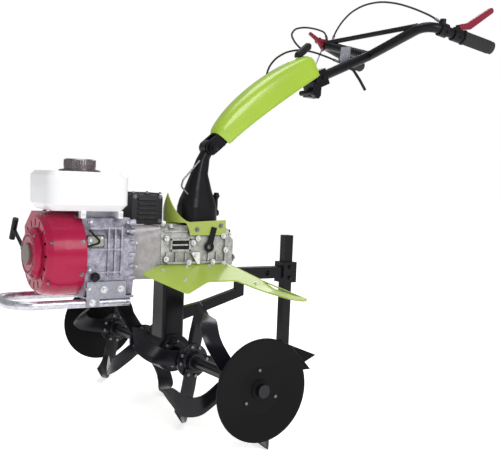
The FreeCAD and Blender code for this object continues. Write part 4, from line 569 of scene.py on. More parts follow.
class Solid:
    """Closed solids gathered into one mesh."""

    washer_thick: float = 0.16
    washer_radius: float = 0.92
    head_side: float = 0.52
    head_top: float = 0.64
    head_flat: float = 0.42
    screw_head: Pairs = ((0, 0), (1, 0), (1, 0.25), (0.8, 0.6), (0.4, 0.72), (0.22, 0.35), (0, 0.3))

    def __init__(self) -> None:
        """Starts with nothing in it."""
        self.mesh = bmesh.new()

    def lathe(self, place: Matrix, profile: Sequence[Pair], sides: int = 24) -> "Solid":
        """Turns a closed profile about the place's Z axis.

        Args:
            place: Where the solid stands.
            profile: (radius, height) points in order; its ends are joined, or both lie on the axis.
            sides: Steps in the turn.

        Returns:
            This solid.
        """
        rows = []
        for radius, height in profile:
            if radius <= 1e-7:
                rows.append([self.mesh.verts.new(place @ Vector((0, 0, height)))])
                continue
            angles = [2 * math.pi * i / sides for i in range(sides)]
            rows.append([
                self.mesh.verts.new(place @ Vector((radius * math.cos(a), radius * math.sin(a), height)))
                for a in angles
            ])
        open_ends = len(rows[0]) == 1 and len(rows[-1]) == 1
        pairs = list(zip(rows, rows[1:])) + ([] if open_ends else [(rows[-1], rows[0])])
        for low, high in pairs:
            for i in range(sides):
                j = (i + 1) % sides
                corners = [low[i % len(low)], low[j % len(low)], high[j % len(high)], high[i % len(high)]]
                unique = list(dict.fromkeys(corners))
                if len(unique) > 2:
                    self.mesh.faces.new(unique)
        return self

    def prism(self, place: Matrix, outline: Sequence[Pair], height: float, bevel: float = 0.0) -> "Solid":
        """Raises a flat outline along the place's Z axis.

        Args:
            place: Where the outline lies.
            outline: Its corners in order.
            height: How far it is raised.
            bevel: How far the upper rim is drawn in.

        Returns:
            This solid.
        """
        middle = Vector((sum(x for x, _ in outline), sum(y for _, y in outline))) / len(outline)
        rings = []
        levels = [(0.0, 0.0), (height - bevel, 0.0)] + ([(height, bevel)] if bevel else [])
        for level, drawn in levels:
            ring = []
            for x, y in outline:
                reach = Vector((x, y)) - middle
                kept = middle + reach * (1 - drawn / max(reach.length, drawn + 1e-9))
                ring.append(place @ Vector((kept.x, kept.y, level)))
            rings.append(ring)
        return self.loft(rings)

    def tube(self, points: Sequence[Vector], radius: float, sides: int = 12, closed: bool = False) -> "Solid":
        """Sweeps a round section along points.

        Args:
            points: The line to follow.
            radius: The section's radius.
            sides: Its corners.
            closed: Whether the line joins its own start.

        Returns:
            This solid.
        """
        count = len(points)
        side = Vector()
        rings = []
        for i, point in enumerate(points):
            before = points[i - 1] if i or closed else point
            after = points[(i + 1) % count] if i + 1 < count or closed else point
            aim = (after - before).normalized()
            reference = side if side.length else (UP if abs(aim.z) < 0.9 else AHEAD)
            side = (reference - aim * reference.dot(aim)).normalized()
            cross = aim.cross(side)
            angles = [2 * math.pi * k / sides for k in range(sides)]
            rings.append([point + (side * math.cos(a) + cross * math.sin(a)) * radius for a in angles])
        return self.loft(rings, closed)

    def block(
        self, place: Matrix, length: float, width: float, height: float, corner: float = 0.0015,
    ) -> "Solid":
        """A block on the place's floor with rounded upright corners and a bevelled top.

        Args:
            place: The middle of its floor, Z pointing up through it.
            length: Its size along X.
            width: Its size along Y.
            height: Its size along Z.
            corner: The corners' radius, and the bevel's width.

        Returns:
            This solid.
        """
        return self.prism(place, rounded_plate(length, width, corner), height, min(corner, height / 2) * 0.6)

    def loft(self, rings: Sequence[Sequence[Vector]], closed: bool = False) -> "Solid":
        """Skins rings of like count, with a flat face on each open end.

        Args:
            rings: The rings in order.
            closed: Whether the last ring joins the first.

        Returns:
            This solid.
        """
        made = [[self.mesh.verts.new(point) for point in ring] for ring in rings]
        count = len(made[0])
        for low, high in list(zip(made, made[1:])) + ([(made[-1], made[0])] if closed else []):
            for i in range(count):
                j = (i + 1) % count
                self.mesh.faces.new([low[i], low[j], high[j], high[i]])
        if not closed:
            self.mesh.faces.new(list(reversed(made[0])))
            self.mesh.faces.new(made[-1])
        return self

    def boss(self, place: Matrix, foot: float, top: float, height: float, sides: int = 20) -> "Solid":
        """A round boss.

        Args:
            place: The middle of its foot, Z pointing up through it.
            foot: Its radius at the foot.
            top: Its radius at the top.
            height: Its height.
            sides: Steps in its turn.

        Returns:
            This solid.
        """
        return self.lathe(place, [(0, 0), (foot, 0), (top, height), (0, height)], sides)

    def bolt(self, place: Matrix, across: float, washer: bool = True) -> "Solid":
        """A hexagon bolt's head on its washer, with a turned top.

        Args:
            place: The middle of its seat, Z pointing out.
            across: The head's width across flats.
            washer: Whether it has a washer.

        Returns:
            This solid.
        """
        thick = across * self.washer_thick if washer else 0.0
        corner = across / math.sqrt(3)
        if washer:
            rim = across * self.washer_radius
            self.boss(place, rim, rim, thick)
        top = across * self.head_top
        shoulder = (corner, across * self.head_side)
        profile = [(0, 0), (corner, 0), shoulder, (across * self.head_flat, top), (0, top)]
        self.lathe(moved(place, z=thick), profile, 6)
        return self

    def bolts(self, places: Iterable[Matrix], across: float, washer: bool = True) -> "Solid":
        """One bolt at each place."""
        for place in places:
            self.bolt(place, across, washer)
        return self

    def screws(self, places: Iterable[Matrix], radius: float) -> "Solid":
        """One round-headed screw, with a dimple for its slot, at each place."""
        profile = [(radius * share, radius * rise) for share, rise in self.screw_head]
        for place in places:
            self.lathe(place, profile, 14)
        return self

    def make(
        self, name: str, finish: Finish, body: Body = Body.ROOT, smooth: float = 34.0,
    ) -> bpy.types.Object:
        """Turns what was gathered into a piece.

        Args:
            name: The piece's name.
            finish: Its finish.
            body: The body it rides on.
            smooth: Edges that turn by more than this, in degrees, stay sharp.

        Returns:
            The piece.
        """
        bmesh.ops.recalc_face_normals(self.mesh, faces=self.mesh.faces)
        mesh = bpy.data.meshes.new(name)
        self.mesh.to_mesh(mesh)
        self.mesh.free()
        mesh.shade_smooth()
        mesh.set_sharp_from_angle(angle=math.radians(smooth))
        piece = bpy.data.objects.new(name, mesh)
        bpy.context.scene.collection.objects.link(piece)
        mesh.materials.append(finish.material())
        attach(piece, body.value)
        LOG.info("%s: %d faces on %s", name, len(mesh.polygons), body.value)
        return piece


@dataclass(frozen=True)
class Box:
    """The room a CAD node takes."""

    low: Vector
    high: Vector

    @classmethod
    def of(cls, node: str) -> "Box":
        """The box of that node."""
        return cls(*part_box(node))

    @property
    def middle(self) -> Vector:
        """Its centre."""
        return (self.low + self.high) / 2

    @property
    def top(self) -> Matrix:
        """The middle of its top, Z pointing up."""
        return seat(Vector((self.middle.x, self.middle.y, self.high.z)), UP)

    @property
    def size(self) -> Vector:
        """Its length, width and height."""
        return self.high - self.low

    def at(self, x: float, y: float, z: float) -> Vector:
        """A point by its shares of the box, each from 0 at the low side to 1 at the high side."""
        return self.low + Vector((self.size.x * x, self.size.y * y, self.size.z * z))


AXLE = Box.of("tine_shaft").middle


def spot(x: float, y: float, z: float) -> Vector:
    """A point measured from the floor straight below the middle of the tine shaft."""
    return Vector((AXLE.x + x, y, z))


class Skin:
    """The surface of CAD nodes, for seating what is fastened to them."""

    def __init__(self, *nodes: str) -> None:
        """Reads the surfaces of those nodes."""
        self.trees = []
        for name in nodes:
            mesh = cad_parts[name].data
            corners = [vertex.co.copy() for vertex in mesh.vertices]
            self.trees.append(BVHTree.FromPolygons(corners, [tuple(face.vertices) for face in mesh.polygons]))

    def meet(self, start: Vector, aim: Vector, spin: float = 0.0) -> Matrix:
        """Where a line first meets the surface.

        Args:
            start: Where the line starts.
            aim: Its direction.
            spin: A turn of the place about the line, in radians.

        Returns:
            The place met, Z pointing back along the line.
        """
        hits = [tree.ray_cast(start, aim.normalized()) for tree in self.trees]
        reached = [(hit[3], hit[0]) for hit in hits if hit[0] is not None]
        if not reached:
            raise ValueError(f"nothing is met from {start[:]} along {aim[:]}")
        return seat(min(reached, key=lambda hit: hit[0])[1], -aim, spin)

    def near_side(self, x: float, z: float) -> Matrix:
        """The place that a line from the left meets, so far ahead of the axle and above the floor."""
        return self.meet(spot(x, 1.0, z), -LEFT)

    def far_side(self, x: float, z: float) -> Matrix:
        """The place that a line from the right meets."""
        return self.meet(spot(x, -1.0, z), LEFT)

    def both_sides(self, x: float, z: float) -> list[Matrix]:
        """The places that lines from the left and from the right meet."""
        return [self.near_side(x, z), self.far_side(x, z)]

    def above(self, x: float, y: float) -> Matrix:
        """The place that a line from above meets."""
        return self.meet(spot(x, y, 2.0), -UP)


def rounded_plate(length: float, width: float, corner: float, steps: int = 3) -> list[Pair]:
    """The outline of a plate with rounded corners, centred on its origin.

    Args:
        length: Its size along X.
        width: Its size along Y.
        corner: Its corners' radius.
        steps: Steps in each corner.

    Returns:
        Its points in order.
    """
    points = []
    for quarter in range(4):
        start = quarter * math.pi / 2
        side = (1 if quarter in (0, 3) else -1, 1 if quarter < 2 else -1)
        middle = (side[0] * (length / 2 - corner), side[1] * (width / 2 - corner))
        for i in range(steps + 1):
            angle = start + i * math.pi / 2 / steps
            points.append((middle[0] + corner * math.cos(angle), middle[1] + corner * math.sin(angle)))
    return points


def middle_of(points: Sequence[Vector]) -> Vector:
    """The middle of the box round some points."""
    low = Vector([min(point[axis] for point in points) for axis in range(3)])
    high = Vector([max(point[axis] for point in points) for axis in range(3)])
    return (low + high) / 2


def bezier(knots: Sequence[Vector], steps: int) -> list[Vector]:
    """Points along the Bezier curve of any number of control points.

    Args:
        knots: The curve's control points.
        steps: Its steps.

    Returns:
        The points, one more than the steps.
    """
    line = []
    for i in range(steps + 1):
        share = i / steps
        row = list(knots)
        while len(row) > 1:
            row = [a.lerp(b, share) for a, b in zip(row, row[1:])]
        line.append(row[0])
    return line


def smooth_line(points: Sequence[Pair], steps: int) -> list[Pair]:
    """A smooth line through points, evenly stepped between them.

    Args:
        points: What the line passes through.
        steps: Its steps in all.

    Returns:
        The line's points, one more than its steps.
    """
    knots = [Vector(point) for point in (points[0], *points, points[-1])]
    line = []
    for i in range(steps + 1):
        reach = i / steps * (len(points) - 1)
        first = min(int(reach), len(points) - 2)
        t = reach - first
        a, b, c, e = knots[first:first + 4]
        square = (a * 2 - b * 5 + c * 4 - e) * t**2
        cube = (b * 3 - a - c * 3 + e) * t**3
        point = (b * 2 + (c - a) * t + square + cube) / 2
        line.append((point.x, point.y))
    return line


def cut_corners(line: Sequence[Pair]) -> list[Pair]:
    """An open line with each inner corner cut at a quarter of its runs, and its ends kept."""
    points = [line[0]]
    for (x, y), (u, v) in zip(line, line[1:]):
        for share in (0.25, 0.75):
            points.append((x * (1 - share) + u * share, y * (1 - share) + v * share))
    points[1:2] = []
    points[-1:] = []
    return points + [line[-1]]


def circle(count: int, radius: float, start: float = 0.0) -> list[Pair]:
    """Points evenly round a circle, from a start angle in radians."""
    angles = [start + 2 * math.pi * i / count for i in range(count)]
    return [(radius * math.cos(angle), radius * math.sin(angle)) for angle in angles]


def crosswise(angle: float) -> Vector:
    """The direction at an angle in the plane across the machine, from the left upwards."""
    return Vector((0.0, math.cos(angle), math.sin(angle)))


class Assembly:
    """A sub-assembly that can dress its CAD nodes."""

    @staticmethod
    def dress(finish: Finish, *nodes: str) -> None:
        """Gives CAD nodes a finish."""
        for name in nodes:
            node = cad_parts[name]
            if not node.material_slots:
                node.data.materials.append(None)
            for place in node.material_slots:
                place.link = "OBJECT"
                place.material = finish.material()

    def build(self) -> None:
        """Dresses the nodes and adds the pieces; each sub-assembly has its own."""
        raise NotImplementedError


# ---------------------------------------------------------------- the stage


@dataclass(frozen=True)
class Studio:
    """A pale floor under soft lamps, and the camera."""

    eye: Point = (1.2740, 1.9902, 0.6393)
    azimuth: float = 33.4
    elevation: float = 3.43
    roll: float = 2.28
    lens: float = 58.16
    floor_size: float = 60.0
    ambient: float = 0.42
    sensor: float = 36.0
    sight: float = 200.0
    glow: float = 0.68
    floor_dark: Point = (0.80, 0.80, 0.81)
    floor_pale: Point = (0.84, 0.84, 0.84)
    lamps: tuple[tuple[str, Point, Point, float, float], ...] = (
        ("key_lamp", (-0.2, 3.4, 2.2), (0.1, 0.0, 0.5), 1.6, 62.0),
        ("front_lamp", (3.2, 1.4, 1.6), (0.2, 0.0, 0.5), 1.2, 4.0),
        ("back_lamp", (-2.6, -2.6, 2.8), (0.0, 0.0, 0.6), 1.8, 30.0),
        ("top_lamp", (0.2, -0.4, 3.2), (0.0, 0.0, 0.4), 1.6, 34.0),
    )

    def camera(self) -> None:
        """Sets up the camera."""
        turn = math.radians(self.azimuth)
        lift = math.radians(self.elevation)
        tilt = math.radians(self.roll)
        back = Vector((math.sin(turn) * math.cos(lift), math.cos(turn) * math.cos(lift), math.sin(lift)))
        level = Vector((-math.cos(turn), math.sin(turn), 0.0))
        upright = back.cross(level)
        right = level * math.cos(tilt) + upright * math.sin(tilt)
        up = upright * math.cos(tilt) - level * math.sin(tilt)
        data = bpy.data.cameras.new("camera")
        data.lens = self.lens
        data.sensor_width = self.sensor
        data.clip_end = self.sight
        camera = bpy.data.objects.new("camera", data)
        turned = Matrix((right, up, back)).transposed().to_4x4()
        camera.matrix_world = Matrix.Translation(self.eye) @ turned
        bpy.context.scene.collection.objects.link(camera)
        bpy.context.scene.camera = camera

    def lamp(self, name: str, place: Point, target: Point, size: float, power: float) -> None:
        """One square soft lamp.

        Args:
            name: Its name.
            place: Where it stands.
            target: What it points at.
            size: Its side.
            power: Its power in watts.
        """
        data = bpy.data.lights.new(name, "AREA")
        data.size = size
        data.energy = power
        lamp = bpy.data.objects.new(name, data)
        aim = Vector(target) - Vector(place)
        lamp.matrix_world = Matrix.Translation(place) @ aim.to_track_quat("-Z", "Y").to_matrix().to_4x4()
        bpy.context.scene.collection.objects.link(lamp)

    def sky(self) -> bpy.types.World:
        """A sky that looks white from the camera and lights the machine more softly.

        Returns:
            The world.
        """
        world = bpy.data.worlds.new("sky")
        world.use_nodes = True
        tree = world.node_tree
        background = tree.nodes["Background"]
        background.inputs["Color"].default_value = (1.0, 1.0, 1.0, 1.0)
        seen = tree.nodes.new("ShaderNodeLightPath").outputs["Is Camera Ray"]
        strength = tree.nodes.new("ShaderNodeMapRange")
        strength.inputs["To Min"].default_value = self.ambient
        strength.inputs["To Max"].default_value = 1.0
        tree.links.new(seen, strength.inputs["Value"])
        tree.links.new(strength.outputs["Result"], background.inputs["Strength"])
        return world

    def floor(self) -> None:
        """The floor, a little self-lit so that it stays as pale as the sky behind it."""
        half = self.floor_size / 2
        mesh = bpy.data.meshes.new("floor")
        corners = [(-half, -half, 0), (half, -half, 0), (half, half, 0), (-half, half, 0)]
        mesh.from_pydata(corners, [], [(0, 1, 2, 3)])
        floor = bpy.data.objects.new("floor", mesh)
        bpy.context.scene.collection.objects.link(floor)
        graph = Graph("pale_floor")
        tone = graph.noise(1.5, 3.0)
        graph.surface(
            Base_Color=graph.mix(tone, self.floor_dark, self.floor_pale),
            Roughness=0.9,
            Emission_Color=(1.0, 1.0, 1.0, 1.0),
            Emission_Strength=self.glow,
        )
        mesh.materials.append(graph.material)

    def build(self) -> None:
        """Camera, sky, lamps and floor."""
        self.camera()
        scene = bpy.context.scene
        scene.view_settings.view_transform = "Standard"
        scene.world = self.sky()
        for lamp in self.lamps:
            self.lamp(*lamp)
        self.floor()


# ---------------------------------------------------------------- the machine

STARS = ("tine_star_right_outer", "tine_star_right_inner", "tine_star_left_inner", "tine_star_left_outer")


@dataclass(frozen=True)
class Rotor(Assembly):
    """The tine shaft, its four bladed stars and the two guard discs."""

    blades: int = 4
    first_blade: float = 79.5
    twist: float = 45.0
    leading_edge: Pairs = (
        (0.020, 0.022), (0.020, 0.050), (0.0205, 0.080), (0.016, 0.122),
        (-0.004, 0.1535), (-0.030, 0.1520), (-0.058, 0.1432),
    )
    trailing_edge: Pairs = (
        (-0.020, 0.022), (-0.020, 0.048), (-0.0200, 0.072), (-0.0225, 0.094),
        (-0.030, 0.111), (-0.043, 0.122), (-0.0605, 0.127),
    )
    steel: float = 0.006
    edge_steel: float = 0.0016
    edge_share: float = 0.25
    tip_start: float = 0.82
    tip_length: float = 0.18
    tip_thinning: float = 0.6
    bend_start: float = 0.060
    bend_radius: float = 0.078
    bend_turn: float = 74.0
    bend_slant: float = 40.0
    length_steps: int = 30
    width_steps: int = 8
    hub_radius: float = 0.025
    hub_length: float = 0.060
    hub_bevel: float = 0.002
    flange_radius: float = 0.046
    flange_thickness: float = 0.008
    flange_bevel: float = 0.001
    fillet: float = 0.004
    bore: float = 0.0152
    shaft_reach: float = 0.0235
    bolt_radius: float = 0.036
    bolt_spread: float = 0.011
    bolt_size: float = 0.0085
    seat_near: float = 0.0101
    seat_far: float = 0.0041
    plate_radius: float = 0.024
    plate_bore: float = 0.010
    plate_thick: float = 0.0036
    plate_sunk: float = 0.0005
    plate_clear: float = 0.0004
    rivets: int = 3
    rivet_radius: float = 0.047
    rivet_start: float = 0.62
    rivet_head: float = 0.0042

    def blade_point(self, x: float, z: float, side: float, lift: float) -> Vector:
        """A point of a blade standing along +Z.

        Args:
            x: Its place across the blade, as seen from the side.
            z: Its distance from the shaft, as seen from the side.
            side: The side that the blade bends to, 1 or -1.
            lift: How far it lies above the blade's seated face, in the steel's own direction.

        Returns:
            The point, from the shaft's middle.
        """
        slant = math.radians(self.bend_slant)
        outward = Vector((-math.sin(slant), 0.0, math.cos(slant)))
        beyond = max(Vector((x, 0.0, z)).dot(outward) - self.bend_start, 0.0)
        most = math.radians(self.bend_turn)
        turned = min(math.asin(min(beyond / self.bend_radius, 1.0)), most)
        rest = beyond - self.bend_radius * math.sin(turned)
        y = self.bend_radius * (1 - math.cos(turned)) + rest * math.tan(turned)
        steel = LEFT * math.cos(turned) - outward * math.sin(turned)
        point = Vector((x, self.flange_thickness / 2 + y, z)) + steel * lift
        return Vector((point.x, point.y * side, point.z))

    def blade(self, solid: Solid, place: Matrix, side: float) -> None:
        """One hoe blade with its outer edge drawn out thin.

        Args:
            solid: What the blade is added to.
            place: The shaft's middle, Z pointing along the blade.
            side: The side that the blade bends to.
        """
        ahead = smooth_line(self.leading_edge, self.length_steps)
        behind = smooth_line(self.trailing_edge, self.length_steps)
        rings = []
        for i, ((x, z), (u, w)) in enumerate(zip(ahead, behind)):
            tip = max(0.0, (i / self.length_steps - self.tip_start) / self.tip_length)
            faces: tuple[list[Vector], list[Vector]] = ([], [])
            for k in range(self.width_steps + 1):
                share = k / self.width_steps
                thin = min(share / self.edge_share, 1.0) * (1 - self.tip_thinning * tip)
                thick = self.edge_steel + (self.steel - self.edge_steel) * max(thin, 0.0)
                wide, out = x * (1 - share) + u * share, z * (1 - share) + w * share
                for face, lift in zip(faces, ((self.steel - thick) / 2, (self.steel + thick) / 2)):
                    face.append(place @ self.blade_point(wide, out, side, lift))
            rings.append(faces[0] + list(reversed(faces[1])))
        solid.loft(rings)

    def hub_profile(self) -> list[Pair]:
        """A star's hub with its flange, as (radius, height) points from end to end."""
        half, thick = self.hub_length / 2, self.flange_thickness / 2
        upper = [
            (self.flange_radius, thick - self.flange_bevel), (self.flange_radius - self.flange_bevel, thick),
            (self.hub_radius + self.fillet, thick), (self.hub_radius, thick + self.fillet),
            (self.hub_radius, half - self.hub_bevel), (self.hub_radius - self.hub_bevel, half),
            (self.bore, half),
        ]
        return [(radius, -height) for radius, height in reversed(upper)] + upper

    def blade_turns(self, star: int) -> list[Pair]:
        """The side that each blade of a star bends to, 1 or -1, and the angle that it stands at."""
        first = self.first_blade + star * self.twist
        sides = [1.0 if k < self.blades // 2 else -1.0 for k in range(self.blades)]
        return [(side, math.radians(first + k * 360.0 / self.blades)) for k, side in enumerate(sides)]

    def stars(self) -> None:
        """The four hubs with their flanges and sickle-shaped blades."""
        for i, name in enumerate(STARS):
            centre = self.star_centre(name)
            star = Solid().lathe(seat(centre, LEFT), self.hub_profile(), 48)
            for side, angle in self.blade_turns(i):
                self.blade(star, Matrix.Translation(centre) @ Matrix.Rotation(angle, 4, "Y"), side)
            piece = star.make(name + "_blades", BLADE_ENAMEL, Body.ROTOR, 40.0)
            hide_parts(name)

    def star_centre(self, name: str) -> Vector:
        """The middle of a star's flange: its hub is the part that reaches the shaft."""
        corners = [vertex.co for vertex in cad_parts[name].data.vertices]
        near_shaft = [
            point.y for point in corners if math.hypot(point.x - AXLE.x, point.z - AXLE.z) < self.shaft_reach
        ]
        return Vector((AXLE.x, (min(near_shaft) + max(near_shaft)) / 2, AXLE.z))

    def blade_bolts(self) -> None:
        """Two bolts through each blade's root, heads on the blade and nuts on the flange."""
        heads = Solid()
        for i, name in enumerate(STARS):
            centre = self.star_centre(name)
            for side, angle in self.blade_turns(i):
                out = Vector((math.sin(angle), 0.0, math.cos(angle)))
                along = Vector((math.cos(angle), 0.0, -math.sin(angle)))
                for shift in (-self.bolt_spread, self.bolt_spread):
                    place = centre + out * self.bolt_radius + along * shift
                    for face, depth in ((side, self.seat_near), (-side, self.seat_far)):
                        head = seat(place + LEFT * face * depth, LEFT * face, angle)
                        heads.bolt(head, self.bolt_size, False)
        heads.make("blade_bolts", DULL_BOLT, Body.ROTOR)

    def disc_hubs(self) -> None:
        """The ring plate in the middle of each guard disc, and the rivets of the disc's stiffener."""
        plates = Solid()
        rivets = Solid()
        shaft = Box.of("tine_shaft")
        bore, rim, foot = self.plate_bore, self.plate_radius, -self.plate_sunk
        discs = (("guard_disc_left", 1.0, shaft.high.y), ("guard_disc_right", -1.0, shaft.low.y))
        for node, side, end in discs:
            skin = Skin(node)
            face = skin.meet(Vector((AXLE.x + rim * 0.8, side, AXLE.z)), LEFT * -side).translation.y
            place = seat(Vector((AXLE.x, face, AXLE.z)), LEFT * side)
            top = min(abs(end) - abs(face) - self.plate_clear, self.plate_thick)
            profile = [(bore, foot), (rim, foot), (rim, top * 0.6), (rim * 0.8, top), (bore, top)]
            plates.lathe(place, profile, 40)
            for x, y in circle(self.rivets, self.rivet_radius, self.rivet_start):
                start = place @ Vector((x, y * side, 0.1))
                rivets.screws([skin.meet(start, LEFT * -side)], self.rivet_head)
        plates.make("disc_hub_plates", DISC_ENAMEL, Body.ROTOR)
        rivets.make("disc_hub_bolts", DULL_BOLT, Body.ROTOR)

    def build(self) -> None:
        """Dresses the rotor and adds its fasteners."""
        self.dress(BLADE_ENAMEL, "tine_shaft", *STARS)
        self.dress(DISC_ENAMEL, "guard_disc_left", "guard_disc_right")
        self.stars()
        self.blade_bolts()
        self.disc_hubs()


@dataclass(frozen=True)
class Transmission(Assembly):
    """The leg, the gear case with its cover, and the clutch housing between case and engine."""

    sunk: float = 0.001
    housing: tuple[Sizes, ...] = (
        (0.10, 0.0625, 0.0725, 5.0), (0.35, 0.0665, 0.0730, 3.6), (0.62, 0.0705, 0.0735, 2.8),
        (0.80, 0.0745, 0.0750, 2.3), (0.845, 0.0765, 0.0770, 2.1),
    )
    housing_foot: float = 7.0
    housing_steps: int = 64
    flange: Pairs = ((0.86, 0.0022), (0.88, 0.0), (0.985, 0.0), (1.0, 0.0015))
    flange_bolts: int = 8
    flange_bolt_start: float = 22.5
    flange_bolt_inset: float = 0.0045
    flange_bolt_size: float = 0.0075
    window_x: float = 0.002
    window_z: float = 0.452
    window_length: float = 0.058
    window_height: float = 0.030
    window_plate: float = 0.0012
    window_corner: float = 0.003
    frame_width: float = 0.006
    frame_proud: float = 0.005
    cross_bar: float = 0.7
    cross_length: float = 0.9
    cross_shift: float = 0.02
    rib_places: Sizes = (0.044, 0.016, -0.014, -0.060, -0.086, -0.112)
    rib_height: float = 0.418
    rib_outline: Pairs = ((-0.0022, -0.013), (0.0022, -0.013), (0.0034, 0.016), (-0.0034, 0.016))
    rib_proud: float = 0.0062
    rib_bevel: float = 0.0012
    rib_sunk: float = 0.0015
    foot_rail: Sizes = (0.4035, 0.030, 0.0065, 0.0085, 0.002)
    top_rail: Sizes = (0.488, 0.020, 0.0050, 0.0045, 0.0015)
    end_rib: Sizes = (-0.1425, 0.440, 0.011, 0.112, 0.0075, 0.003)
    bolt_size: float = 0.0085
    side_bolts: Pairs = (
        (-0.132, 0.476), (-0.140, 0.437), (-0.136, 0.398), (-0.036, 0.458), (-0.050, 0.470), (0.046, 0.470),
        (0.046, 0.414), (-0.024, 0.404), (-0.100, 0.404),
    )
    side_boss: Point = (0.0082, 0.0078, 0.0075)
    top_bolts: Pairs = ((0.048, 0.044), (0.026, 0.048), (0.048, -0.044), (0.026, -0.048))
    top_boss: Point = (0.0095, 0.0088, 0.0040)
    bolt_sunk: float = 0.0001
    cover_bolt_size: float = 0.008
    cover_bolt_spread: Pair = (0.40, 0.42)
    level_plug: Pair = (0.020, 0.410)
    level_boss: Point = (0.014, 0.013, 0.004)
    level_size: float = 0.013
    oil_plug: Pair = (-0.168, 0.024)
    oil_plug_profile: Pairs = (
        (0, 0), (0.013, 0), (0.013, 0.004), (0.010, 0.006), (0.010, 0.014), (0.008, 0.016), (0, 0.016),
    )
    stay_place: Pair = (-0.042, 0.414)
    stay_outline: Pairs = ((-0.014, -0.018), (0.014, -0.018), (-0.006, 0.015), (-0.014, 0.015))
    stay_proud: float = 0.007
    stay_sheet: float = 0.003
    stay_bevel: float = 0.0006
    stay_bolt: float = -0.010
    stay_bolt_size: float = 0.008
    cap_profile: Pairs = (
        (0.019, -0.001), (0.043, -0.001), (0.043, 0.003), (0.038, 0.0045), (0.030, 0.0052), (0.027, 0.0080),
        (0.019, 0.0088),
    )
    cap_bolts: int = 6
    cap_bolt_radius: float = 0.0345
    cap_bolt_start: float = 0.3
    cap_bolt_seat: float = 0.0046
    cap_bolt_size: float = 0.007

    @staticmethod
    def fuller(wave: float, power: float) -> float:
        """A sine or cosine drawn out towards 1 or -1; a power of 2 leaves it as it is."""
        return math.copysign(abs(wave) ** (2 / power), wave)

    def clutch_housing(self) -> None:
        """The smooth casting that runs from the engine's flange to the gear case, and the flange's bolts."""
        bell = Box.of("bell_housing")
        case = Box.of("gear_case")
        middle = bell.middle
        radius = bell.size.z / 2
        stations = [(0.0, case.size.y / 2 - self.sunk, case.size.z / 2 - self.sunk, self.housing_foot)]
        stations += self.housing
        stations += [(share, radius - drawn, radius - drawn, 2.0) for share, drawn in self.flange]
        angles = [2 * math.pi * i / self.housing_steps for i in range(self.housing_steps)]
        rings = []
        for share, half_width, half_height, power in stations:
            x = bell.low.x + bell.size.x * share
            rings.append([
                Vector((
                    x,
                    self.fuller(math.cos(angle), power) * half_width,
                    middle.z + self.fuller(math.sin(angle), power) * half_height,
                ))
                for angle in angles
            ])
        housing = Solid().loft(rings).make("clutch_housing", SMOOTH_CASTING)
        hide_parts("bell_housing")
        rear = Vector((bell.low.x + bell.size.x * self.flange[0][0], 0.0, middle.z))
        start = math.radians(self.flange_bolt_start)
        holes = circle(self.flange_bolts, radius - self.flange_bolt_inset, start)
        places = [seat(rear + Vector((0, y, z)), -AHEAD) for y, z in holes]
        Solid().bolts(places, self.flange_bolt_size, False).make("flange_bolts", BRIGHT_BOLT)

    def window(self) -> None:
        """The inspection window's cast frame on both sides of the gear case, with a black plate inside that
        paints the shade of its recess.
        """
        frames = Solid()
        plates = Solid()
        length, height = self.window_length, self.window_height
        width, proud = self.frame_width, self.frame_proud
        for place in Skin("gear_case").both_sides(self.window_x, self.window_z):
            # The black plate stands in for the shade inside the recessed window.
            plates.block(place, length, height, self.window_plate, self.window_corner)
            for sign in (-1, 1):
                frames.block(moved(place, y=sign * height / 2, z=-self.sunk), length + width, width, proud)
                frames.block(moved(place, x=sign * length / 2, z=-self.sunk), width, height + width, proud)
            bar = moved(place, x=length * self.cross_shift, z=-self.sunk)
            frames.block(bar, length * self.cross_length, width * self.cross_bar, proud * self.cross_bar)
        frames.make("window_frames", GEAR_CASTING)
        plates.make("window_shade_plates", BLACK_PLASTIC)

    def case_ribs(self) -> None:
        """Upright ribs and long rails along both sides of the gear case, and a rib at its rear."""
        ribs = Solid()
        skin = Skin("gear_case")
        case = Box.of("gear_case")
        rails = [
            (case.middle.x - AXLE.x, z, case.size.x - short, *size)
            for z, short, *size in (self.foot_rail, self.top_rail)
        ]
        for meet, down in ((skin.near_side, 1), (skin.far_side, -1)):
            outline = [(x, y * down) for x, y in self.rib_outline]
            for x in self.rib_places:
                place = moved(meet(x, self.rib_height), z=-self.rib_sunk)
                ribs.prism(place, outline, self.rib_proud, self.rib_bevel)
            for x, z, *size in (*rails, self.end_rib):
                ribs.block(moved(meet(x, z), z=-self.rib_sunk), *size)
        ribs.make("gear_case_ribs", GEAR_CASTING)

    def case_bolts(self) -> None:
        """The bolts and bosses of the gear case's sides and top."""
        skin = Skin("gear_case")
        bosses = Solid()
        places = []
        sides = [(place, self.side_boss) for x, z in self.side_bolts for place in skin.both_sides(x, z)]
        tops = [(skin.above(x, y), self.top_boss) for x, y in self.top_bolts]
        for met, boss in sides + tops:
            place = moved(met, z=-self.sunk)
            bosses.boss(place, *boss)
            places.append(moved(place, z=boss[2] - self.bolt_sunk))
        bosses.make("gear_case_bosses", GEAR_CASTING)
        Solid().bolts(places, self.bolt_size).make("gear_case_bolts", BRIGHT_BOLT)

    def cover_bolts(self) -> None:
        """The bolts of the gear case's rear cover."""
        cover = Box.of("gear_case_cover")
        rear = Skin("gear_case_cover")
        wide, high = self.cover_bolt_spread
        heads = []
        for sy in (-1, 0, 1):
            for sz in (-1, 1):
                start = cover.at(0.0, 0.5 + wide * sy, 0.5 + high * sz) - AHEAD * 0.5
                heads.append(rear.meet(start, AHEAD))
        Solid().bolts(heads, self.cover_bolt_size).make("cover_bolts", BRIGHT_BOLT)

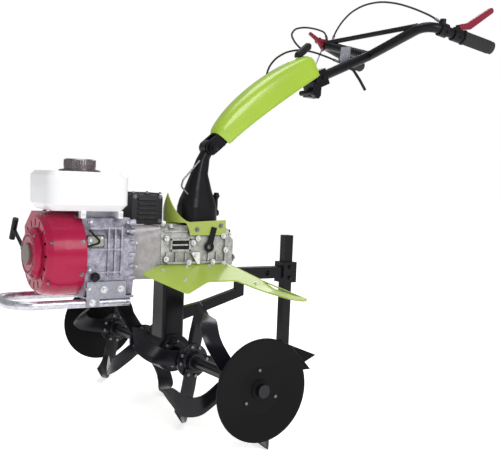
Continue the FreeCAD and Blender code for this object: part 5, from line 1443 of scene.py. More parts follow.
    def plugs(self) -> None:
        """The filler plug on top of the rear cover and the level plug behind."""
        cover = Skin("gear_case_cover")
        place = cover.meet(spot(-1.0, *self.level_plug), AHEAD)
        level = Solid().boss(place, *self.level_boss, 28)
        level.bolt(moved(place, z=self.level_boss[2]), self.level_size, False)
        level.make("level_plug", DULL_BOLT)
        filler = Solid().lathe(cover.above(*self.oil_plug), self.oil_plug_profile, 28)
        filler.make("gear_oil_plug", BLACK_PLASTIC)

    def stays(self) -> None:
        """The three-cornered stays between the gear case and the fender, coloured near white as a painted
        glint.
        """
        plates = Solid()
        heads = []
        for place, down in zip(Skin("gear_case").both_sides(*self.stay_place), (1, -1)):
            outline = [(x, y * down) for x, y in self.stay_outline]
            raised = moved(place, z=self.stay_proud)
            plates.prism(raised, outline, self.stay_sheet, self.stay_bevel)
            heads.append(moved(raised, y=self.stay_bolt * down, z=self.stay_sheet))
        plates.make("fender_stays", GLINT_WHITE_STAY)
        Solid().bolts(heads, self.stay_bolt_size, False).make("stay_bolts", BRIGHT_BOLT)

    def leg_caps(self) -> None:
        """The bearing caps on both sides of the leg's foot, with their bolts."""
        caps = Solid()
        bolts = Solid()
        leg = Box.of("leg_case")
        for side, reach in ((1.0, leg.high.y), (-1.0, leg.low.y)):
            place = seat(Vector((AXLE.x, reach, AXLE.z)), LEFT * side)
            caps.lathe(place, self.cap_profile, 48)
            for x, y in circle(self.cap_bolts, self.cap_bolt_radius, self.cap_bolt_start):
                bolts.bolt(moved(place, x, y, self.cap_bolt_seat), self.cap_bolt_size, False)
        caps.make("leg_bearing_caps", BLADE_ENAMEL)
        bolts.make("leg_cap_bolts", DULL_BOLT)

    def build(self) -> None:
        """Dresses the castings and adds what is cast on and bolted to them."""
        self.dress(BLACK_ENAMEL, "leg_case")
        self.dress(GEAR_CASTING, "gear_case", "gear_case_cover")
        self.dress(SMOOTH_CASTING, "bell_housing")
        self.clutch_housing()
        self.window()
        self.case_ribs()
        self.case_bolts()
        self.cover_bolts()
        self.plugs()
        self.stays()
        self.leg_caps()


@dataclass(frozen=True)
class Engine(Assembly):
    """The petrol engine with its tank, muffler, mount and bumper."""

    sunk: float = 0.001
    rib_places: Sizes = (0.190, 0.208, 0.226)
    rib_height: float = 0.430
    rib_outline: Pairs = ((-0.0022, -0.075), (0.0022, -0.075), (0.0030, 0.050), (-0.0030, 0.050))
    rib_proud: float = 0.0052
    rib_bevel: float = 0.0012
    rail_places: Pairs = ((0.232, 0.388), (0.232, 0.446), (0.232, 0.500))
    rail_size: Sizes = (0.088, 0.0045, 0.0045, 0.0015)
    lug_heights: Sizes = (0.372, 0.402, 0.432, 0.462, 0.492, 0.514)
    lug_profile: Pairs = ((0, 0), (0.0078, 0), (0.0078, 0.013), (0.0052, 0.018), (0, 0.018))
    lug_back: float = 0.002
    lug_inset: float = 0.004
    lug_bolt: float = 0.016
    boss_places: Pairs = ((0.276, 0.348), (0.276, 0.396), (0.276, 0.470), (0.276, 0.516))
    boss_size: Point = (0.0085, 0.0075, 0.0055)
    boss_bolt: float = 0.0054
    case_bolt_size: float = 0.0075
    filler_place: Pair = (0.262, 0.372)
    filler_sunk: float = 0.003
    filler_aim: Point = (0.0, 0.9, 0.45)
    filler_neck: Point = (0.013, 0.013, 0.008)
    filler_cap: Pairs = ((0, 0.008), (0.0115, 0.008), (0.0115, 0.016), (0.009, 0.0175), (0, 0.0175))
    filler_grip: Point = (0.017, 0.005, 0.007)
    filler_grip_foot: float = 0.017
    mount_bolts: Pairs = ((0.190, 0.3445), (0.236, 0.3445), (0.266, 0.312))
    foot_bolts: Pairs = ((0.176, -0.068), (0.176, 0.068), (0.262, -0.068), (0.262, 0.068))
    mount_bolt_size: float = 0.010
    fan_height: float = 0.429
    rim_screws: Sizes = (20.0, 62.0, 104.0, -24.0)
    rim_inset: float = 0.010
    face_screws: tuple[int, float, float] = (6, 0.101, 0.35)
    starter_screws: tuple[int, float, float] = (3, 0.0595, 0.9)
    shroud_screw_size: float = 0.0062
    vents: int = 14
    vent_radius: float = 0.046
    vent_size: Sizes = (0.0042, 0.018, 0.0005, 0.0015)
    stay_places: Pairs = ((0.191, 0.078), (0.191, -0.052), (0.291, 0.078), (0.291, -0.052))
    stay_length: float = 0.013
    stay_width: float = 0.020
    stay_bolt_size: float = 0.007
    knurls: int = 36
    knurl_radius: float = 0.0398
    knurl_length: float = 0.0016
    knurl_width: float = 0.0036
    knurl_corner: float = 0.0006
    knurl_ends: Pair = (0.38, 0.93)
    louvres: int = 5
    louvre_step: float = 0.15
    louvre_turn: float = 0.5
    louvre_length: float = 0.62
    louvre_size: Point = (0.0075, 0.0042, 0.001)
    guard_screws: Pairs = ((-0.42, -0.40), (-0.42, 0.40), (0.42, -0.40), (0.42, 0.40))
    bosses: tuple[int, int] = (6, 5)
    boss_steps: Pair = (0.15, 0.18)
    boss_block: Sizes = (0.009, 0.011, 0.0035, 0.0012)
    lid_screws: Pairs = ((-0.44, -0.43), (0.44, -0.43), (-0.44, 0.43), (0.44, 0.43), (0.0, 0.43))
    muffler_screw_size: float = 0.0065
    plug_profile: Pairs = (
        (0, -0.001), (0.0095, -0.001), (0.0095, 0.007), (0.006, 0.008), (0.006, 0.016), (0, 0.016),
    )
    boot_profile: Pairs = (
        (0, 0.009), (0.0065, 0.009), (0.0095, 0.010), (0.0095, 0.030), (0.007, 0.036), (0, 0.036),
    )
    lead_start: float = 0.034
    lead_goal: Point = (0.012, 0.020, 0.020)
    lead_run: float = 0.012
    lead_lift: float = 0.030
    lead_radius: float = 0.0033
    lead_steps: int = 24
    cleaner_seam: float = 0.62
    cleaner_proud: float = 0.003
    cleaner_rim: Pair = (0.0035, 0.012)
    cleaner_ribs: Sizes = (0.2, 0.35, 0.5, 0.65, 0.8)
    cleaner_rib_length: float = 0.7
    cleaner_rib: Point = (0.0035, 0.0030, 0.001)
    knob_profile: Pairs = ((0, 0), (0.010, 0), (0.010, 0.005), (0.006, 0.008), (0, 0.008))
    knob_wing: Sizes = (0.034, 0.006, 0.010, 0.002)
    knob_wing_foot: float = 0.006
    lean: float = 25.0
    rocker_places: Pairs = ((-0.36, -0.022), (-0.36, 0.022), (0.36, -0.022), (0.36, 0.022))
    rocker_bolt_size: float = 0.0085
    throttle_place: Pair = (0.262, 0.473)
    throttle_shift: Point = (-0.001, 0.006, -0.0005)
    throttle_size: Sizes = (0.043, 0.026, 0.0011, 0.003)
    throttle_screws: Pairs = ((-0.016, -0.008), (0.017, 0.009))
    throttle_screw_size: float = 0.0032

    def crankcase_details(self) -> None:
        """Ribs, rails, flange lugs and bolt bosses on the crankcase, with their bolts."""
        ribs = Solid()
        bolts = []
        case = Box.of("crankcase")
        near = case.high.y
        for x in self.rib_places:
            place = seat(spot(x, near - self.sunk, self.rib_height), LEFT)
            ribs.prism(place, self.rib_outline, self.rib_proud, self.rib_bevel)
        for x, z in self.rail_places:
            ribs.block(seat(spot(x, near - self.sunk, z), LEFT), *self.rail_size)
        for z in self.lug_heights:
            for y in (near - self.lug_inset, case.low.y + self.lug_inset):
                ribs.lathe(seat(Vector((case.low.x - self.lug_back, y, z)), AHEAD), self.lug_profile, 20)
                bolts.append(seat(Vector((case.low.x + self.lug_bolt, y, z)), AHEAD))
        for x, z in self.boss_places:
            place = seat(spot(x, near - self.sunk, z), LEFT)
            ribs.boss(place, *self.boss_size)
            bolts.append(moved(place, z=self.boss_bolt))
        ribs.make("crankcase_ribs", CAST_ALUMINIUM)
        Solid().bolts(bolts, self.case_bolt_size, False).make("crankcase_bolts", BRIGHT_BOLT)

    def oil_filler(self) -> None:
        """The oil filler's neck and its cap with a finger grip."""
        x, z = self.filler_place
        place = seat(spot(x, Box.of("crankcase").high.y - self.filler_sunk, z), Vector(self.filler_aim))
        Solid().boss(place, *self.filler_neck, 28).make("oil_filler_neck", CAST_ALUMINIUM)
        cap = Solid().lathe(place, self.filler_cap, 28)
        cap.block(moved(place, z=self.filler_grip_foot), *self.filler_grip)
        cap.make("oil_filler_cap", BLACK_PLASTIC)

    def mount_bolts_and_feet(self) -> None:
        """The bolts of the mount's folded sides and of the engine's feet."""
        skin = Skin("engine_mount")
        below = Box.of("engine_mount").low.z - 0.1
        places = [place for x, z in self.mount_bolts for place in skin.both_sides(x, z)]
        places += [skin.meet(spot(x, y, below), UP) for x, y in self.foot_bolts]
        Solid().bolts(places, self.mount_bolt_size).make("mount_bolts", BRIGHT_BOLT)

    def shroud_details(self) -> None:
        """The fan shroud's screws, and the starter's screws and vents."""
        shroud = Box.of("fan_shroud")
        centre = spot(0.0, 0.0, self.fan_height)
        skin = Skin("fan_shroud")
        screws = []
        for angle in self.rim_screws:
            out = crosswise(math.radians(angle))
            screws.append(skin.meet(Vector((shroud.low.x + self.rim_inset, 0, centre.z)) + out * 0.4, -out))
        for y, z in circle(*self.face_screws):
            screws.append(skin.meet(Vector((shroud.high.x + 0.2, y, centre.z + z)), -AHEAD))
        front = Box.of("recoil_cover").high.x + 0.2
        cover = Skin("recoil_cover")
        for y, z in circle(*self.starter_screws):
            screws.append(cover.meet(Vector((front, y, centre.z + z)), -AHEAD))
        Solid().bolts(screws, self.shroud_screw_size).make("shroud_screws", DULL_BOLT)
        face = cover.meet(Vector((front, self.vent_radius, centre.z)), -AHEAD).translation.x
        vents = Solid()
        for i in range(self.vents):
            out = crosswise(2 * math.pi * i / self.vents)
            middle = Vector((face, 0.0, centre.z)) + out * self.vent_radius
            spin = math.pi / 2 - math.atan2(-out.z, out.y)
            vents.block(seat(middle, AHEAD, spin), *self.vent_size)
        vents.make("starter_vents", BLACK_PLASTIC)

    def tank_details(self) -> None:
        """The tank's stays with their bolts, and the knurled rim of its cap."""
        tank = Box.of("fuel_tank")
        case = Box.of("crankcase")
        stays = Solid()
        heads = []
        for x, y in self.stay_places:
            place = seat(spot(x, y, case.high.z - self.sunk), UP)
            stays.block(place, self.stay_length, self.stay_width, tank.low.z - case.high.z + 2 * self.sunk)
            heads.append(seat(spot(x, y + self.stay_width / 2, (case.high.z + tank.low.z) / 2), LEFT))
        stays.make("tank_stays", TANK_PAINT)
        Solid().bolts(heads, self.stay_bolt_size, False).make("tank_stay_bolts", BRIGHT_BOLT)

        cap = Box.of("fuel_cap")
        middle = Vector((cap.middle.x, cap.middle.y, cap.low.z))
        low, high = (cap.size.z * share for share in self.knurl_ends)
        ring = Solid()
        for x, y in circle(self.knurls, self.knurl_radius):
            place = seat(middle + Vector((x, y, low)), UP, math.atan2(y, x))
            ring.block(place, self.knurl_length, self.knurl_width, high - low, self.knurl_corner)
        ring.make("fuel_cap_knurls", CAP_METAL)

    def muffler_details(self) -> None:
        """The muffler's louvred guard, the bosses on its lid and its screws."""
        box = Box.of("muffler")
        long, wide, tall = box.size
        guard = Solid()
        plate = seat(Vector((box.middle.x, box.high.y, box.middle.z)), LEFT)
        for i in range(self.louvres):
            rise = (i - (self.louvres - 1) / 2) * tall * self.louvre_step
            slat = moved(plate, y=rise) @ Matrix.Rotation(self.louvre_turn, 4, "X")
            guard.block(slat, long * self.louvre_length, *self.louvre_size)
        screws = [moved(plate, long * x, tall * z) for x, z in self.guard_screws]
        rows, columns = self.bosses
        for i in range(rows):
            for j in range(columns):
                x = long * (i - (rows - 1) / 2) * self.boss_steps[0]
                y = wide * (j - (columns - 1) / 2) * self.boss_steps[1]
                guard.block(moved(box.top, x, y, -self.sunk), *self.boss_block)
        guard.make("muffler_guard", MUFFLER_PAINT)
        screws += [moved(box.top, long * x, wide * y) for x, y in self.lid_screws]
        Solid().bolts(screws, self.muffler_screw_size).make("muffler_screws", DULL_BOLT)

    def ignition(self) -> None:
        """The spark plug in the cylinder head, its boot and the lead to the fan shroud."""
        head = Box.of("cylinder_head")
        plug_seat = Skin("cylinder_head").meet(head.at(0.5, 0.5, 0.5) + AHEAD * 0.3, -AHEAD)
        Solid().lathe(plug_seat, self.plug_profile, 6).make("spark_plug", BRIGHT_BOLT)
        boots = Solid().lathe(plug_seat, self.boot_profile, 24)
        end = plug_seat @ Vector((0.0, 0.0, self.lead_start))
        shroud = Box.of("fan_shroud")
        inward, side, rise = self.lead_goal
        goal = Vector((shroud.low.x + inward, shroud.low.y + side, end.z + rise))
        lift = UP * self.lead_lift
        after = end + AHEAD * self.lead_run + lift * 0.4
        knots = (end, after, (end + goal) / 2 + lift, goal + lift * 0.5, goal)
        boots.tube(bezier(knots, self.lead_steps), self.lead_radius, 10)
        boots.make("plug_boot_and_lead", CABLE_SHEATH)

    def air_cleaner_details(self) -> None:
        """The air cleaner's lid with its seam, ribs and wing knob."""
        box = Box.of("air_cleaner")
        lid = Solid()
        seam = seat(Vector((box.middle.x, box.middle.y, box.low.z + box.size.z * self.cleaner_seam)), UP)
        lid.block(seam, box.size.x + self.cleaner_proud, box.size.y + self.cleaner_proud, *self.cleaner_rim)
        for share in self.cleaner_ribs:
            place = Vector((box.middle.x, box.low.y + box.size.y * share, box.high.z - self.sunk))
            lid.block(seat(place, UP), box.size.x * self.cleaner_rib_length, *self.cleaner_rib)
        lid.lathe(box.top, self.knob_profile, 24)
        lid.block(moved(box.top, z=self.knob_wing_foot), *self.knob_wing)
        lid.make("air_cleaner_lid", BLACK_PLASTIC)

    def rocker_bolts(self) -> None:
        """The rocker cover's bolts."""
        cover = Box.of("rocker_cover")
        skin = Skin("rocker_cover")
        lean = math.radians(self.lean)
        out = Vector((0.0, -math.cos(lean), math.sin(lean)))
        up = Vector((0.0, math.sin(lean), math.cos(lean)))
        places = []
        for x, rise in self.rocker_places:
            start = cover.middle + AHEAD * cover.size.x * x + up * rise + out * 0.2
            places.append(skin.meet(start, -out))
        Solid().bolts(places, self.rocker_bolt_size).make("rocker_bolts", BRIGHT_BOLT)

    def throttle_details(self) -> None:
        """The throttle plate's plated face with its screws."""
        plate = moved(Skin("throttle_lever").near_side(*self.throttle_place), *self.throttle_shift)
        Solid().block(plate, *self.throttle_size).make("throttle_face", THROTTLE_PLATE)
        places = [moved(plate, x, y, self.sunk) for x, y in self.throttle_screws]
        Solid().screws(places, self.throttle_screw_size).make("throttle_screws", BRIGHT_BOLT)

    def build(self) -> None:
        """Dresses the engine and adds its fittings."""
        self.dress(CAST_ALUMINIUM, "crankcase", "cylinder_barrel", "cylinder_head")
        self.dress(ZINC_PLATE, "engine_mount", "rocker_cover", "tank_bracket")
        self.dress(OLIVE_CAP, "recoil_cap")
        self.dress(GALVANISED, "front_bumper")
        self.dress(RED_PAINT, "fan_shroud", "recoil_cover")
        self.dress(TANK_PAINT, "fuel_tank")
        self.dress(CAP_METAL, "fuel_cap")
        self.dress(BLACK_PLASTIC, "recoil_handle", "air_cleaner")
        self.dress(MUFFLER_PAINT, "muffler", "exhaust_pipe")
        self.dress(BLACK_ENAMEL, "throttle_lever")
        self.crankcase_details()
        self.oil_filler()
        self.mount_bolts_and_feet()
        self.shroud_details()
        self.tank_details()
        self.muffler_details()
        self.throttle_details()
        self.ignition()
        self.air_cleaner_details()
        self.rocker_bolts()


@dataclass(frozen=True)
class Column(Assembly):
    """The column with its collar, lock and rod."""

    collar_screws: Pairs = ((-0.046, 0.494), (-0.122, 0.5045))
    half_width: float = 0.066
    sheet: float = 0.003
    rear: float = -0.138
    side_front: float = -0.025
    prow: float = 0.014
    low: float = 0.478
    rear_high: float = 0.520
    front_high: float = 0.514
    prow_low: float = 0.512
    prow_high: float = 0.590
    crown: float = 0.0008
    side_steps: int = 4
    turn_steps: int = 22
    turn_power: float = 1.3
    low_turn: float = 0.2
    low_power: float = 0.6
    high_power: float = 1.9
    screw_size: float = 0.0075

    def collar_side(self, inset: float) -> list[tuple[Vector, Vector]]:
        """The lower and upper edge of the collar's left half.

        Args:
            inset: How far the edges lie inside the sheet's outer face.

        Returns:
            Pairs of lower and upper points, from the rear forward to the middle of the prow.
        """
        half = self.half_width - inset
        pairs = []
        for i in range(self.side_steps):
            share = i / self.side_steps
            x = self.rear + (self.side_front - self.rear) * share
            top = self.rear_high + (self.front_high - self.rear_high) * share
            pairs.append((spot(x, half, self.low), spot(x, half, top)))
        for i in range(self.turn_steps + 1):
            share = (i / self.turn_steps) ** self.turn_power
            angle = share * math.pi / 2
            x = self.side_front + (self.prow - inset - self.side_front) * math.sin(angle)
            y = half * math.cos(angle)
            low = self.low + (self.prow_low - self.low) * min(share / self.low_turn, 1.0) ** self.low_power
            high = self.front_high + (self.prow_high - self.front_high) * share**self.high_power
            pairs.append((spot(x, y, low), spot(x, y, high)))
        return pairs

    def collar(self) -> None:
        """The collar: a pressed sheet that sweeps up from both sides into a prow."""
        outer = self.collar_side(0.0)
        inner = self.collar_side(self.sheet)
        rings = []
        for (low, high), (low_in, high_in) in zip(outer, inner):
            crown = (high + high_in) / 2 + UP * self.crown
            rings.append([low, high, crown, high_in, low_in])
        mirrored = [[Vector((point.x, -point.y, point.z)) for point in ring] for ring in reversed(rings[:-1])]
        sheet = Solid().loft(rings + mirrored).make("collar_sheet", COLLAR_PAINT, smooth=50.0)
        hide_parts("column_collar")

    def build(self) -> None:
        """Dresses the column and adds its fasteners."""
        self.dress(BLACK_ENAMEL, "column", "column_pivot", "swing_latch")
        self.dress(BLACK_PLASTIC, "column_lock")
        self.dress(DULL_BOLT, "selector_rod")
        self.dress(COLLAR_PAINT, "column_collar")
        self.collar()
        collar = Skin("column_collar")
        places = [place for x, z in self.collar_screws for place in collar.both_sides(x, z)]
        Solid().bolts(places, self.screw_size).make("collar_screws", DULL_BOLT)


@dataclass(frozen=True)
class Handlebar(Assembly):
    """The handlebar with its cover, levers, cables and grips."""

    foot: Point = (-0.142, 0.0, 0.752)
    end: Point = (-0.452, 0.0, 0.990)
    foot_slope: float = 56.0
    end_slope: float = 27.0
    foot_pull: float = 0.100
    end_pull: float = 0.110
    widths: Point = (0.058, 0.086, 0.084)
    depths: Point = (0.054, 0.080, 0.066)
    wall: float = 0.003
    shoulder: Pair = (1.01, 0.42)
    crown: float = 0.60
    rim_drawn: float = 0.0035
    rim_start: float = 0.93
    rim_length: float = 0.07
    bead: float = 0.0016
    rings: int = 29
    rounds: int = 3
    ribs: int = 13
    rib_first: float = 0.12
    rib_run: float = 0.76
    rib_proud: float = 0.0007
    rib_width: float = 0.0036
    rib_bevel: Pair = (0.0004, 0.0006)
    rib_root: float = 0.002
    flange_profile: Pairs = ((-0.003, 0), (0.0030, 0), (0.0034, 0.002), (0.001, 0.0045), (-0.003, 0.0045))
    flange_place: float = 0.001
    end_share: float = 0.1
    axis_rounds: int = 8
    clamp_shift: float = 0.014
    clamp_slope: float = 0.45
    clamp_bolt_size: float = 0.010
    band_height: float = 0.014
    band_bolt_size: float = 0.0065
    hinge_x: float = -0.2542
    hinge_z: float = 0.9215
    hinge_half: float = 0.014
    hinge_radius: float = 0.004
    stud_places: Pairs = ((-0.3847, 1.0139), (-0.3720, 1.0075))
    stud_depth: float = 0.0125
    stud_profile: Pairs = (
        (0, 0), (0.0035, 0), (0.0035, 0.0065), (0.0060, 0.0065), (0.0060, 0.0095), (0.0052, 0.0105),
        (0, 0.0105),
    )
    ferrule_ends: Pair = (0.006, 0.024)
    ferrule_radius: float = 0.0045
    pivot: Pair = (-0.112, 0.722)
    pivot_bolt_size: float = 0.015
    cable_ends: tuple[tuple[Point, Point], ...] = (
        ((-0.742, -0.252, 1.128), (-0.733, -0.228, 1.152)),
        ((-0.746, 0.256, 1.124), (-0.736, 0.222, 1.148)),
        ((-0.703, -0.232, 1.128), (-0.664, -0.196, 1.143)),
        ((-0.588, -0.017, 1.016), (-0.546, -0.021, 1.027)),
    )

    @staticmethod
    def swell(sizes: Point, share: float) -> float:
        """A smooth size from the foot's, through the middle's, to the end's."""
        foot, middle, end = sizes
        left = 1.0 - share
        return foot * left * (1 - 2 * share) + middle * 4 * share * left + end * share * (2 * share - 1)

    def cover_ring(self, share: float, inset: float) -> list[Vector]:
        """One section of the cover, from its left lower edge over the top to its right lower edge.

        Args:
            share: How far up the cover, from 0 to 1.
            inset: How far the section lies inside the outer face.

        Returns:
            Its points.
        """
        rise, fall = math.radians(self.foot_slope), math.radians(self.end_slope)
        first, last = spot(*self.foot), spot(*self.end)
        second = first + Vector((-math.cos(rise), 0, math.sin(rise))) * self.foot_pull
        third = last - Vector((-math.cos(fall), 0, math.sin(fall))) * self.end_pull
        left = 1.0 - share
        pulled = second * 3 * left**2 * share
        middle = first * left**3 + pulled + third * 3 * left * share**2 + last * share**3
        along = (second - first) * left**2 + (third - second) * 2 * left * share + (last - third) * share**2
        up = along.normalized().cross(LEFT)
        up = up if up.z > 0 else -up
        rim = self.rim_drawn * max(0.0, (abs(2 * share - 1) - self.rim_start) / self.rim_length) ** 2
        half = self.swell(self.widths, share) / 2 - inset - rim
        top = self.swell(self.depths, share) / 2 - inset - rim
        low = -self.swell(self.depths, share) / 2
        side = [(half, low), (half * self.shoulder[0], top * self.shoulder[1]), (half * self.crown, top)]
        line = side + [(-a, b) for a, b in reversed(side)]
        for _ in range(self.rounds):
            line = cut_corners(line)
        return [middle + LEFT * a + up * b for a, b in line]

    def cover(self) -> None:
        """The moulded cover over the arm, open below, with a bead along its lower edges."""
        sections = []
        beads: tuple[list[Vector], list[Vector]] = ([], [])
        for i in range(self.rings):
            share = i / (self.rings - 1)
            outer = self.cover_ring(share, 0.0)
            inner = self.cover_ring(share, self.wall)
            sections.append(outer + list(reversed(inner)))
            beads[0].append(outer[0])
            beads[1].append(outer[-1])
        shell = Solid().loft(sections)
        for line in beads:
            shell.tube(line, self.bead, 8)
        cover = shell.make("cover_shell", LIME_PLASTIC, Body.HANDLEBAR, 40.0)
        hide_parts("handlebar_cover")

    def grips(self) -> None:
        """Ribs round both rubber grips, with a flange at the inner end."""
        ribs = Solid()
        for name in ("grip_left", "grip_right"):
            inner, outer, radius = self.grip_line(name)
            length = (outer - inner).length
            aim = (outer - inner).normalized()
            top, root, half = radius + self.rib_proud, radius - self.rib_root, self.rib_width / 2
            drawn, back = self.rib_bevel
            profile = [
                (root, -half), (top - drawn, -half), (top, back - half),
                (top, half - back), (top - drawn, half), (root, half),
            ]
            for i in range(self.ribs):
                share = self.rib_first + self.rib_run * i / (self.ribs - 1)
                ribs.lathe(seat(inner + aim * length * share, aim), profile, 28)
            flange = [(radius + out, height) for out, height in self.flange_profile]
            ribs.lathe(seat(inner + aim * self.flange_place, aim), flange, 28)
        ribs.make("grip_ribs", GRIP_RUBBER, Body.HANDLEBAR)

    def grip_line(self, name: str) -> tuple[Vector, Vector, float]:
        """A grip's inner and outer end on its axis, and its radius.

        Args:
            name: The grip's node.

        Returns:
            Both ends and the radius.
        """
        corners = [vertex.co.copy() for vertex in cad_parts[name].data.vertices]
        inner = max(corners, key=lambda point: point.x)
        outer = min(corners, key=lambda point: point.x)
        for _ in range(self.axis_rounds):
            aim = (outer - inner).normalized()
            along = [(point - inner).dot(aim) for point in corners]
            edge = (max(along) - min(along)) * self.end_share
            starts = [point for point, way in zip(corners, along) if way < min(along) + edge]
            ends = [point for point, way in zip(corners, along) if way > max(along) - edge]
            inner, outer = middle_of(starts), middle_of(ends)
        aim = (outer - inner).normalized()
        along = [(point - inner).dot(aim) for point in corners]
        reach = [(point - inner - aim * way).length for point, way in zip(corners, along)]
        inner, outer = inner + aim * min(along), inner + aim * max(along)
        return inner, outer, max(reach)

    def clamp_bolts(self) -> None:
        """The bolts of the stem's clamp."""
        middle = Box.of("handlebar_clamp").middle
        skin = Skin("handlebar_clamp")
        x = middle.x - AXLE.x
        places = []
        for shift in (-self.clamp_shift, self.clamp_shift):
            places += skin.both_sides(x + shift, middle.z - shift * self.clamp_slope)
        Solid().bolts(places, self.clamp_bolt_size, False).make("clamp_bolts", BLACK_ENAMEL, Body.HANDLEBAR)

    def band_bolts(self) -> None:
        """The bolts of the bands that hold the lever and the cables."""
        places = []
        for name in ("lever_clamp", "cable_clamp"):
            box = Box.of(name)
            start = Vector((box.middle.x, box.middle.y + 0.2, box.low.z + self.band_height))
            places.append(Skin(name).meet(start, -LEFT))
        Solid().bolts(places, self.band_bolt_size).make("band_bolts", BLACK_ENAMEL, Body.HANDLEBAR)

    def lever_hinge(self) -> None:
        """The hinge barrel between the clamp's lever and the clamp."""
        middle = Vector((self.hinge_x, 0.0, self.hinge_z))
        half = LEFT * self.hinge_half
        barrel = Solid().tube([middle - half, middle + half], self.hinge_radius, 20)
        barrel.make("clamp_hinge", BLACK_ENAMEL, Body.HANDLEBAR)

    def console_studs(self) -> None:
        """The two studs that hold the console plate to the stem."""
        studs = Solid()
        for x, z in self.stud_places:
            studs.lathe(seat(Vector((x, -self.stud_depth, z)), -LEFT), self.stud_profile, 20)
        studs.make("console_studs", DULL_BOLT, Body.HANDLEBAR)

    def cable_ferrules(self) -> None:
        """The metal sleeves on the ends of the control cables."""
        sleeves = Solid()
        for end, after in self.cable_ends:
            start = spot(*end)
            aim = (spot(*after) - start).normalized()
            sleeves.tube([start + aim * way for way in self.ferrule_ends], self.ferrule_radius, 16)
        sleeves.make("cable_ferrules", DULL_BOLT, Body.HANDLEBAR)

    def knuckle_bolts(self) -> None:
        """The bolt heads of the handlebar's pivot."""
        places = Skin("handlebar_arm").both_sides(*self.pivot)
        Solid().bolts(places, self.pivot_bolt_size).make("pivot_bolt_heads", BLACK_ENAMEL, Body.HANDLEBAR)

    def build(self) -> None:
        """Dresses the handlebar and adds its fittings."""
        self.dress(
            BLACK_ENAMEL, "handlebar_arm", "handlebar_tube", "handlebar_stem", "handlebar_brace",
            "handlebar_clamp", "lever_clamp", "cable_clamp", "clamp_lever", "shift_rod",
        )
        self.dress(LIME_PLASTIC, "handlebar_cover")
        self.dress(GRIP_RUBBER, "grip_left", "grip_right")
        self.dress(LEVER_RED, "clutch_lever", "reverse_lever")
        self.dress(BLACK_PLASTIC, "cable_gland")
        self.dress(ZINC_PLATE, "console_plate", "reverse_rod")
        self.dress(CABLE_SHEATH, "clutch_cable", "reverse_cable", "throttle_cable")
        self.cover()
        self.grips()
        self.clamp_bolts()
        self.band_bolts()
        self.lever_hinge()
        self.console_studs()
        self.cable_ferrules()
        self.knuckle_bolts()


@dataclass(frozen=True)
class RearBar(Assembly):
    """The hitch bar, its clamp, the depth bar and the ridger."""

    bolt_spread: float = 0.016
    bolt_size: float = 0.011

    def build(self) -> None:
        """Dresses the rear bar and adds its fasteners."""
        self.dress(BLACK_ENAMEL, "hitch_bar", "hitch_brace", "post_clamp", "depth_bar", "ridger")
        middle = Box.of("post_clamp").middle
        skin = Skin("post_clamp")
        places = []
        for rise in (-self.bolt_spread, self.bolt_spread):
            places += skin.both_sides(middle.x - AXLE.x, middle.z + rise)
        Solid().bolts(places, self.bolt_size, False).make("post_clamp_bolts", BLACK_ENAMEL)


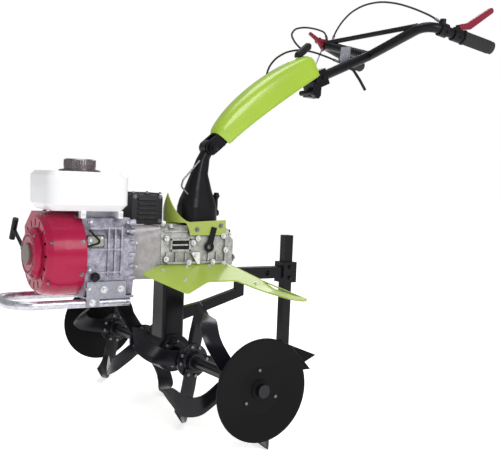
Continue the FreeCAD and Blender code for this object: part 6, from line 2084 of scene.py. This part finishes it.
@dataclass(frozen=True)
class Fender(Assembly):
    """The pressed fender over the rotor: two wings that slope down and out from the gear case."""

    sheet: float = 0.003
    lip: float = 0.0021
    root: Pair = (0.053, 0.403)
    bend: Pair = (0.218, 0.343)
    edge: Pair = (0.355, 0.329)
    plan: Pairs = (
        (0.056, 0.0625), (0.134, 0.106), (0.060, 0.218), (-0.030, 0.160), (-0.120, 0.160), (-0.165, 0.230),
        (-0.188, 0.318), (-0.216, 0.343), (-0.236, 0.326), (-0.196, 0.156), (-0.149, 0.0625),
    )
    corner: float = 0.010
    corner_steps: int = 4
    bend_reach: float = 0.03
    bend_cuts: int = 11
    bend_step: float = 0.006
    probe: float = 0.001
    bolt_size: float = 0.0065
    bolt_places: Pairs = (
        (0.070, 0.096), (-0.010, 0.078), (-0.080, 0.078), (-0.140, 0.078), (0.030, 0.150), (-0.170, 0.180),
    )

    def height(self, y: float) -> float:
        """The top of the sheet at a distance from the middle plane, rounded at its bend."""
        first = (self.bend[1] - self.root[1]) / (self.bend[0] - self.root[0])
        second = (self.edge[1] - self.bend[1]) / (self.edge[0] - self.bend[0])
        reach = self.bend_reach
        share = min(max((y - self.bend[0] + reach) / (2 * reach), 0.0), 1.0)
        gained = first * (y - self.bend[0])
        beyond = max(y - self.bend[0] - reach, 0.0)
        return self.bend[1] + gained + (second - first) * (share * share * reach + beyond)

    def outline(self) -> list[Pair]:
        """The wing's plan with its corners rounded."""
        count = len(self.plan)
        points = []
        for i in range(count):
            here = Vector(self.plan[i])
            back = (Vector(self.plan[i - 1]) - here)
            ahead = (Vector(self.plan[(i + 1) % count]) - here)
            cut = min(self.corner, back.length * 0.4, ahead.length * 0.4)
            start, finish = here + back.normalized() * cut, here + ahead.normalized() * cut
            for k in range(self.corner_steps + 1):
                t = k / self.corner_steps
                point = start * (1 - t) ** 2 + here * 2 * t * (1 - t) + finish * t**2
                points.append((point.x, point.y))
        return points

    def wing(self, side: float) -> bmesh.types.BMesh:
        """One wing as a sheet of even thickness.

        Args:
            side: 1 for the left wing, -1 for the right.

        Returns:
            Its mesh.
        """
        mesh = bmesh.new()
        mesh.faces.new([mesh.verts.new((AXLE.x + x, y, 0.0)) for x, y in self.outline()])
        for i in range(self.bend_cuts):
            cut = self.bend[0] - self.bend_reach + self.bend_step * i
            every = mesh.verts[:] + mesh.edges[:] + mesh.faces[:]
            bmesh.ops.bisect_plane(mesh, geom=every, plane_co=(0, cut, 0), plane_no=(0, 1, 0))
        for vertex in mesh.verts:
            vertex.co.z = self.height(vertex.co.y)
        bmesh.ops.recalc_face_normals(mesh, faces=mesh.faces[:])
        if sum(face.normal.z for face in mesh.faces) < 0:
            bmesh.ops.reverse_faces(mesh, faces=mesh.faces[:])
        made = bmesh.ops.extrude_face_region(mesh, geom=mesh.faces[:])
        for item in made["geom"]:
            if isinstance(item, bmesh.types.BMVert):
                item.co.z -= self.sheet
        for vertex in mesh.verts:
            vertex.co.y *= side
        return mesh

    def build(self) -> None:
        """Dresses the fender, models its wings with rolled edges and adds their bolts."""
        self.dress(LIME_PAINT, "fender")
        wings = Solid()
        for side in (1.0, -1.0):
            part = self.wing(side)
            mesh = bpy.data.meshes.new("wing")
            part.to_mesh(mesh)
            part.free()
            wings.mesh.from_mesh(mesh)
            bpy.data.meshes.remove(mesh)
            rim = [spot(x, y * side, self.height(y) - self.sheet / 2) for x, y in self.outline()]
            wings.tube(rim, self.lip, 8, True)
        piece = wings.make("fender_wings", LIME_PAINT, smooth=30.0)
        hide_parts("fender")
        places = []
        for x, y in self.bolt_places:
            slope = (self.height(y + self.probe) - self.height(y - self.probe)) / (2 * self.probe)
            for side in (1.0, -1.0):
                places.append(seat(spot(x, y * side, self.height(y)), Vector((0.0, -slope * side, 1.0))))
        Solid().bolts(places, self.bolt_size).make("fender_bolts", BRIGHT_BOLT)


def main() -> None:
    logging.basicConfig(level=logging.INFO, format="%(name)s %(message)s")
    Studio().build()
    for part in (Rotor(), Transmission(), Engine(), Column(), Handlebar(), RearBar(), Fender()):
        LOG.info("building %s", type(part).__name__)
        part.build()


if __name__ == "__main__":
    main()
